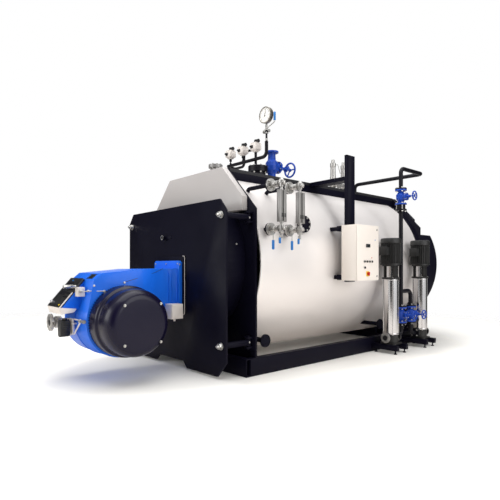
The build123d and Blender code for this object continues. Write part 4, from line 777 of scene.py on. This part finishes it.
# %% Wedge, panel, tray and keys
wedge = slab([(-1763, 780), (-1763, 771), (-1574, 771), (-1514, 1070), (-1514, 1074)],
             (-284, 0, 0), rearward, upright, 352, 2)
panel = plate(on_panel(-108, 0.5, -panel_depth), to_right, rise, 360, panel_length, panel_depth, 12, 4)
tray = together(
    slab(eased([(-1783, 796), (-1757, 722), (-1628, 738), (-1600, 774)], 8, 4, closed=True),
         (-288, 0, 0), rearward, upright, 360, 3),
    bent([(72, -1778, 790), (72, -1712, 867), (72, -1645, 945)], 6, 8))
keypad = together(
    plate(on_panel(-150, 0.62), to_right, rise, 150, 170, 3, 8, 1),
    *(plate(on_panel(x, share), to_right, rise, 26, 18, 5, 4, 1.5)
      for x in (-40, 0, 40) for share in (0.35, 0.47, 0.59, 0.71)))
console_glass = plate(on_panel(-150, 0.64, 2.6), to_right, rise, 120, 74, 1.4, 4, 0.5)
console_knob = turned([(15, 0), (15, 12), (12, 16)], on_panel(-245, 0.14), panel_out, 24)
key = [(9, 0), (9, 5), (7, 7)]
blue_key = turned(key, on_panel(-144, 0.90), panel_out, 20)
yellow_key = turned(key, on_panel(28, 0.07), panel_out, 20)
piece("console", "front_door", "black_paint", (burner_blue, wedge), (black_moulding, panel), (cabinet_cream, tray),
      (pipe_black, keypad), (dark_glass, console_glass), (bezel_chrome, console_knob), (grip_blue, blue_key),
      (plate_yellow, yellow_key), stands_for=("burner_console",))

# %% Servo tube, gland and linkage
servo = together(
    turned([(15, 0), (18, 3), (18, 96), (15, 100), (15, 126)], (122, -1757, 1010), rearward, 20),
    turned([(14, 0), (16, 3), (16, 20), (12, 24), (12, 44), (9, 46)], (160, -1598, 958), to_right, 6),
    turned([(12, 0), (14, 2), (14, 14)], (272, -1569, 966), rearward, 6),
    bent(eased([(206, -1598, 958), (262, -1590, 962), (290, -1560, 966), (312, -1406, 960)], 30), 5, 10),
    turned([(13, 0), (13, 9)], (305, -1406, 960), to_right, 14))
servo_lid = together(
    plate((160.2, -1583, 952.5), rearward, upright, 66, 88, 3, 6, 1),
    screw_heads([(163, -1583 + a, 952.5 + b) for a in (-26, 26) for b in (-37, 37)], to_right, 4))
junction_lid = together(
    plate((396.2, -573, 702), rearward, upright, 140, 160, 4, 8, 1.5),
    screw_heads([(400, -573 + a, 702 + b) for a in (-58, 58) for b in (-68, 68)], to_right, 5),
    turned([(16, 0), (16, 12), (12, 16), (12, 30)], (330, -573, 617), (0, 0, -1), 12))
piece("servo_linkage", "front_door", "white_plastic", (zinc, servo), (white_moulding, servo_lid, junction_lid))

# %% Gas flange face and collar
gas_at, collar_at = (-240, -1774, 616), (-240, -1722, 616)
gas_metal = together(
    turned([(36, 0.5), (36, -2.5), (58, -2.5), (60, -1.5), (60, 0.5), (36, 0.5)], gas_at, rearward, 40),
    turned([(38, 20), (52, 20), (50, 28), (40, 34), (38, 38), (38, 20)], gas_at, rearward, 32),
    turned([(38, 0), (60, 0), (64, 5), (64, 60), (60, 66), (38, 66), (38, 0)], collar_at, rearward, 8),
    copies(turned([(9, 0), (9, 7)], origin, to_front, 6), ring_of(collar_at, rearward, 52, 4)))
bore = turned([(35.5, 0.4), (36, -1), (0, -0.6)], gas_at, rearward, 32)
print("gas flange at", gas_at)

# %% Actuator ribs, bracket and strut
actuator_middle = 574.5
actuator_ribs = [plate((44.3, -1706, z), rearward, upright, 60 + 26 * (1 - abs(z - actuator_middle) / 88),
                       7, 8, 2, 1) for z in np.linspace(502, 647, 9)]
actuator_cap = turned([(24, 0), (26, 3), (26, 14), (20, 18)], (20, -1706, 660), upright, 20)
bracket_fold = together(
    block((-58, -1634, 500), (46, -1624, 670), 2, 1.5),
    screw_heads([(30, -1634, 520), (30, -1634, 650)], to_front, 6))
strut = together(bent([(46, -1616, 664), (120, -1613, 664), (192, -1611, 664)], 7, 8),
                 bent([(46, -1616, 508), (120, -1613, 575), (194, -1611, 642)], 8.5, 8))
impulse_pipe = turned([(20, 0), (20, 18), (15, 22), (15, 88), (19, 92), (19, 116)],
                      (186, -1612, 656), to_right, 20)
piece("gas_train_fittings", "front_door", "cast_silver", (zinc, gas_metal, impulse_pipe), (pipe_black, bore),
      (black_moulding, *actuator_ribs, actuator_cap), (white_moulding, bracket_fold, strut))

# %% [markdown]
# ## Front door fittings
# A round sight glass with a flip cover looks through the door at the flame. Each hinge arm ends in a bolt that
# keeps its eye from turning, and one plug screw closes the drum's side.

# %% Sight glass, arm bolts and plug
sight_at = (-123, -419, 1576)
sight = together(
    turned([(34, 0), (34, 10), (28, 14), (28, 30), (32, 34), (32, 46), (26, 50)], sight_at, to_front, 28),
    plate((-60, -419, 1578), to_right, upright, 150, 40, 7, 19, 1.5))
sight_ring = turned([(22, 48), (29, 48), (29, 53), (22, 53), (22, 48)], sight_at, to_front, 28)
door_bolts = together(screw_heads([(1038, -45, 1762), (1038, -45, 372)], to_right, 11),
                      screw_heads([(900.5, -119, 1471)], (0.976, 0, 0.216), 12))
piece("door_fittings", "front_door", "navy_paint", (navy, sight), (zinc, sight_ring, door_bolts))

# %% [markdown]
# ## Control cabinet
# A folded steel cabinet in cream powder coat. Its door carries a small display, a row of four selector switches,
# one switch below them, the red and yellow main switch, and two quarter-turn locks.

# %% Display, switches, main switch and locks
panel_face = 1512
main_at = (panel_face, 1535, 1127)
display = plate((panel_face, 1540, 1482), rearward, upright, 84, 44, 9, 4, 2)
display_glass = plate((panel_face + 8.6, 1540, 1482), rearward, upright, 66, 28, 1.2, 3, 0.4)
switch_places = [(panel_face, y, 1282) for y in (1460, 1515, 1570, 1625)] + [(panel_face, 1467, 1205)]
switch_ring = turned([(16, 0), (16, 4), (14, 6)], origin, to_right, 24)
switch_grip = plate((6, 0, 0), rearward, upright, 9, 26, 14, 3, 1.5)
lamp = turned([(7, 0), (7, 3), (4, 5)], origin, to_right, 16)
main_plate = plate(main_at, rearward, upright, 66, 66, 3, 5, 1)
main_grip = together(turned([(22, 2), (22, 12), (19, 15)], main_at, to_right, 32),
                     plate((panel_face + 13, *main_at[1:]), rearward, upright, 13, 46, 19, 5, 2))
lock = turned([(13, 0), (13, 3), (10, 4), (10, 7)], origin, to_right, 24)
locks = copies(lock, [(panel_face, 1740, 1693), (panel_face, 1740, 1096)])
piece("cabinet_front", "cabinet_door", "black_paint",
      (black_moulding, display, copies(switch_grip, switch_places)),
      (zinc, locks, copies(switch_ring, switch_places)), (dark_glass, display_glass),
      (lamp_red, main_grip, copies(lamp, [(panel_face, 1625, 1330)])), (plate_yellow, main_plate),
      (grip_blue, copies(lamp, [(panel_face, 1700, 1560)])), stands_for=("cabinet_switches",))

# %% [markdown]
# ## Feed pumps
# Each upright pump is a stack of stages inside a polished sleeve, pulled together by four tie rods between a cast
# foot and a cast head. Over the head stands a lantern, through which the coupling guard shines, and on it the
# motor, ribbed all round for cooling, with its fan cowl on top and its terminal box on the left.

# %% Motors, lanterns and terminal boxes
motor_ribs = [(0, 0, 1262), (128, 0, 1262), (132, 8, 1275), (132, 8, 1540), (128, 0, 1552), (0, 0, 1552)]
fan_cowl = [(141, 1546), (145, 1550), (145, 1606), (138, 1618), (122, 1624), (0, 1625)]
motor_flange = [(146, 1246), (146, 1264)]
lantern_top = [(120, 1226), (120, 1247)]
pump_head = [(124, 1043), (125, 1046), (125, 1062), (118, 1068)]
coupling_guard = [(66, 1066), (66, 1228)]
dark_parts, bright_parts, foot_bolts = [], [], []
for y in pump_rows:
    foot = (pump_line, y, 0)
    dark_parts += [ribbed(motor_ribs, foot, 30, 2.5), turned(fan_cowl, foot, upright, 48),
                   turned(motor_flange, foot, upright, 48), turned(lantern_top, foot, upright, 40),
                   turned(pump_head, foot, upright, 40)]
    for side in (-1, 1):
        leg = pump_line + side * 74
        dark_parts.append(block((leg - 14, y - 52, 1064), (leg + 14, y + 52, 1230), 6, 2))
    bright_parts.append(turned(coupling_guard, foot, upright, 40))
    dark_parts += [block((1257, y - 206, 1382), (1367, y - 120, 1492), 8, 4),
                   block((1250, y - 214, 1376), (1374, y - 204, 1498), 10, 3)]
    foot_bolts.append(screw_heads(ring_of((pump_line, y, 1068), upright, 106, 4), upright, 10))
piece("motor_shells", "boiler", "black_paint", (cast_black, *dark_parts),
      (bright_steel, *bright_parts), (zinc, *foot_bolts), stands_for=("pump_motors",))

# %% Tie rods, sleeve bands and the suction flange
suction_at = (pump_line, 2260, 216)
rods = [turned([(6, 250), (6, 1050)], place, upright, 12)
        for y in pump_rows for place in ring_of((pump_line, y, 0), upright, 106, 4)]
bands = [turned([(100, low), (107, low), (108, low + 2), (108, low + 12), (107, low + 14), (100, low + 14),
                 (100, low)], (pump_line, y, 0), upright, 48) for y in pump_rows for low in (262, 1026)]
suction_face = turned([(34, -20), (68, -20), (71, -17), (71, 1), (68, 3), (34, 3), (34, -20)], suction_at,
                      to_front, 40)
suction_bore = turned([(36, 0), (36, 3.4)], suction_at, to_front, 32)
suction_bolts = copies(turned([(11, 0), (11, 9), (9.5, 10.5)], origin, to_front, 6),
                       ring_of(suction_at, to_front, 55, 4))
piece("pump_fittings", "boiler", "bare_steel", (bright_steel, *rods, *bands),
      (column_steel, suction_face), (zinc, suction_bolts), (black_moulding, suction_bore))

# %% [markdown]
# ## Walkway edge
# The walkway's upper edge is rolled tread plate, so a narrow speckled band of it runs along the top. It is a
# strip of its own, because the tread's coarse grain would look wrong on the plain beam below it.

# %% Tread band
bands = [block((side * 594 - 1.5, 30, 2360), (side * 594 + 1.5, 3645, 2401), 1, 0.5) for side in (-1, 1)]
piece("tread_band", "boiler", "navy_paint", (tread, *bands))
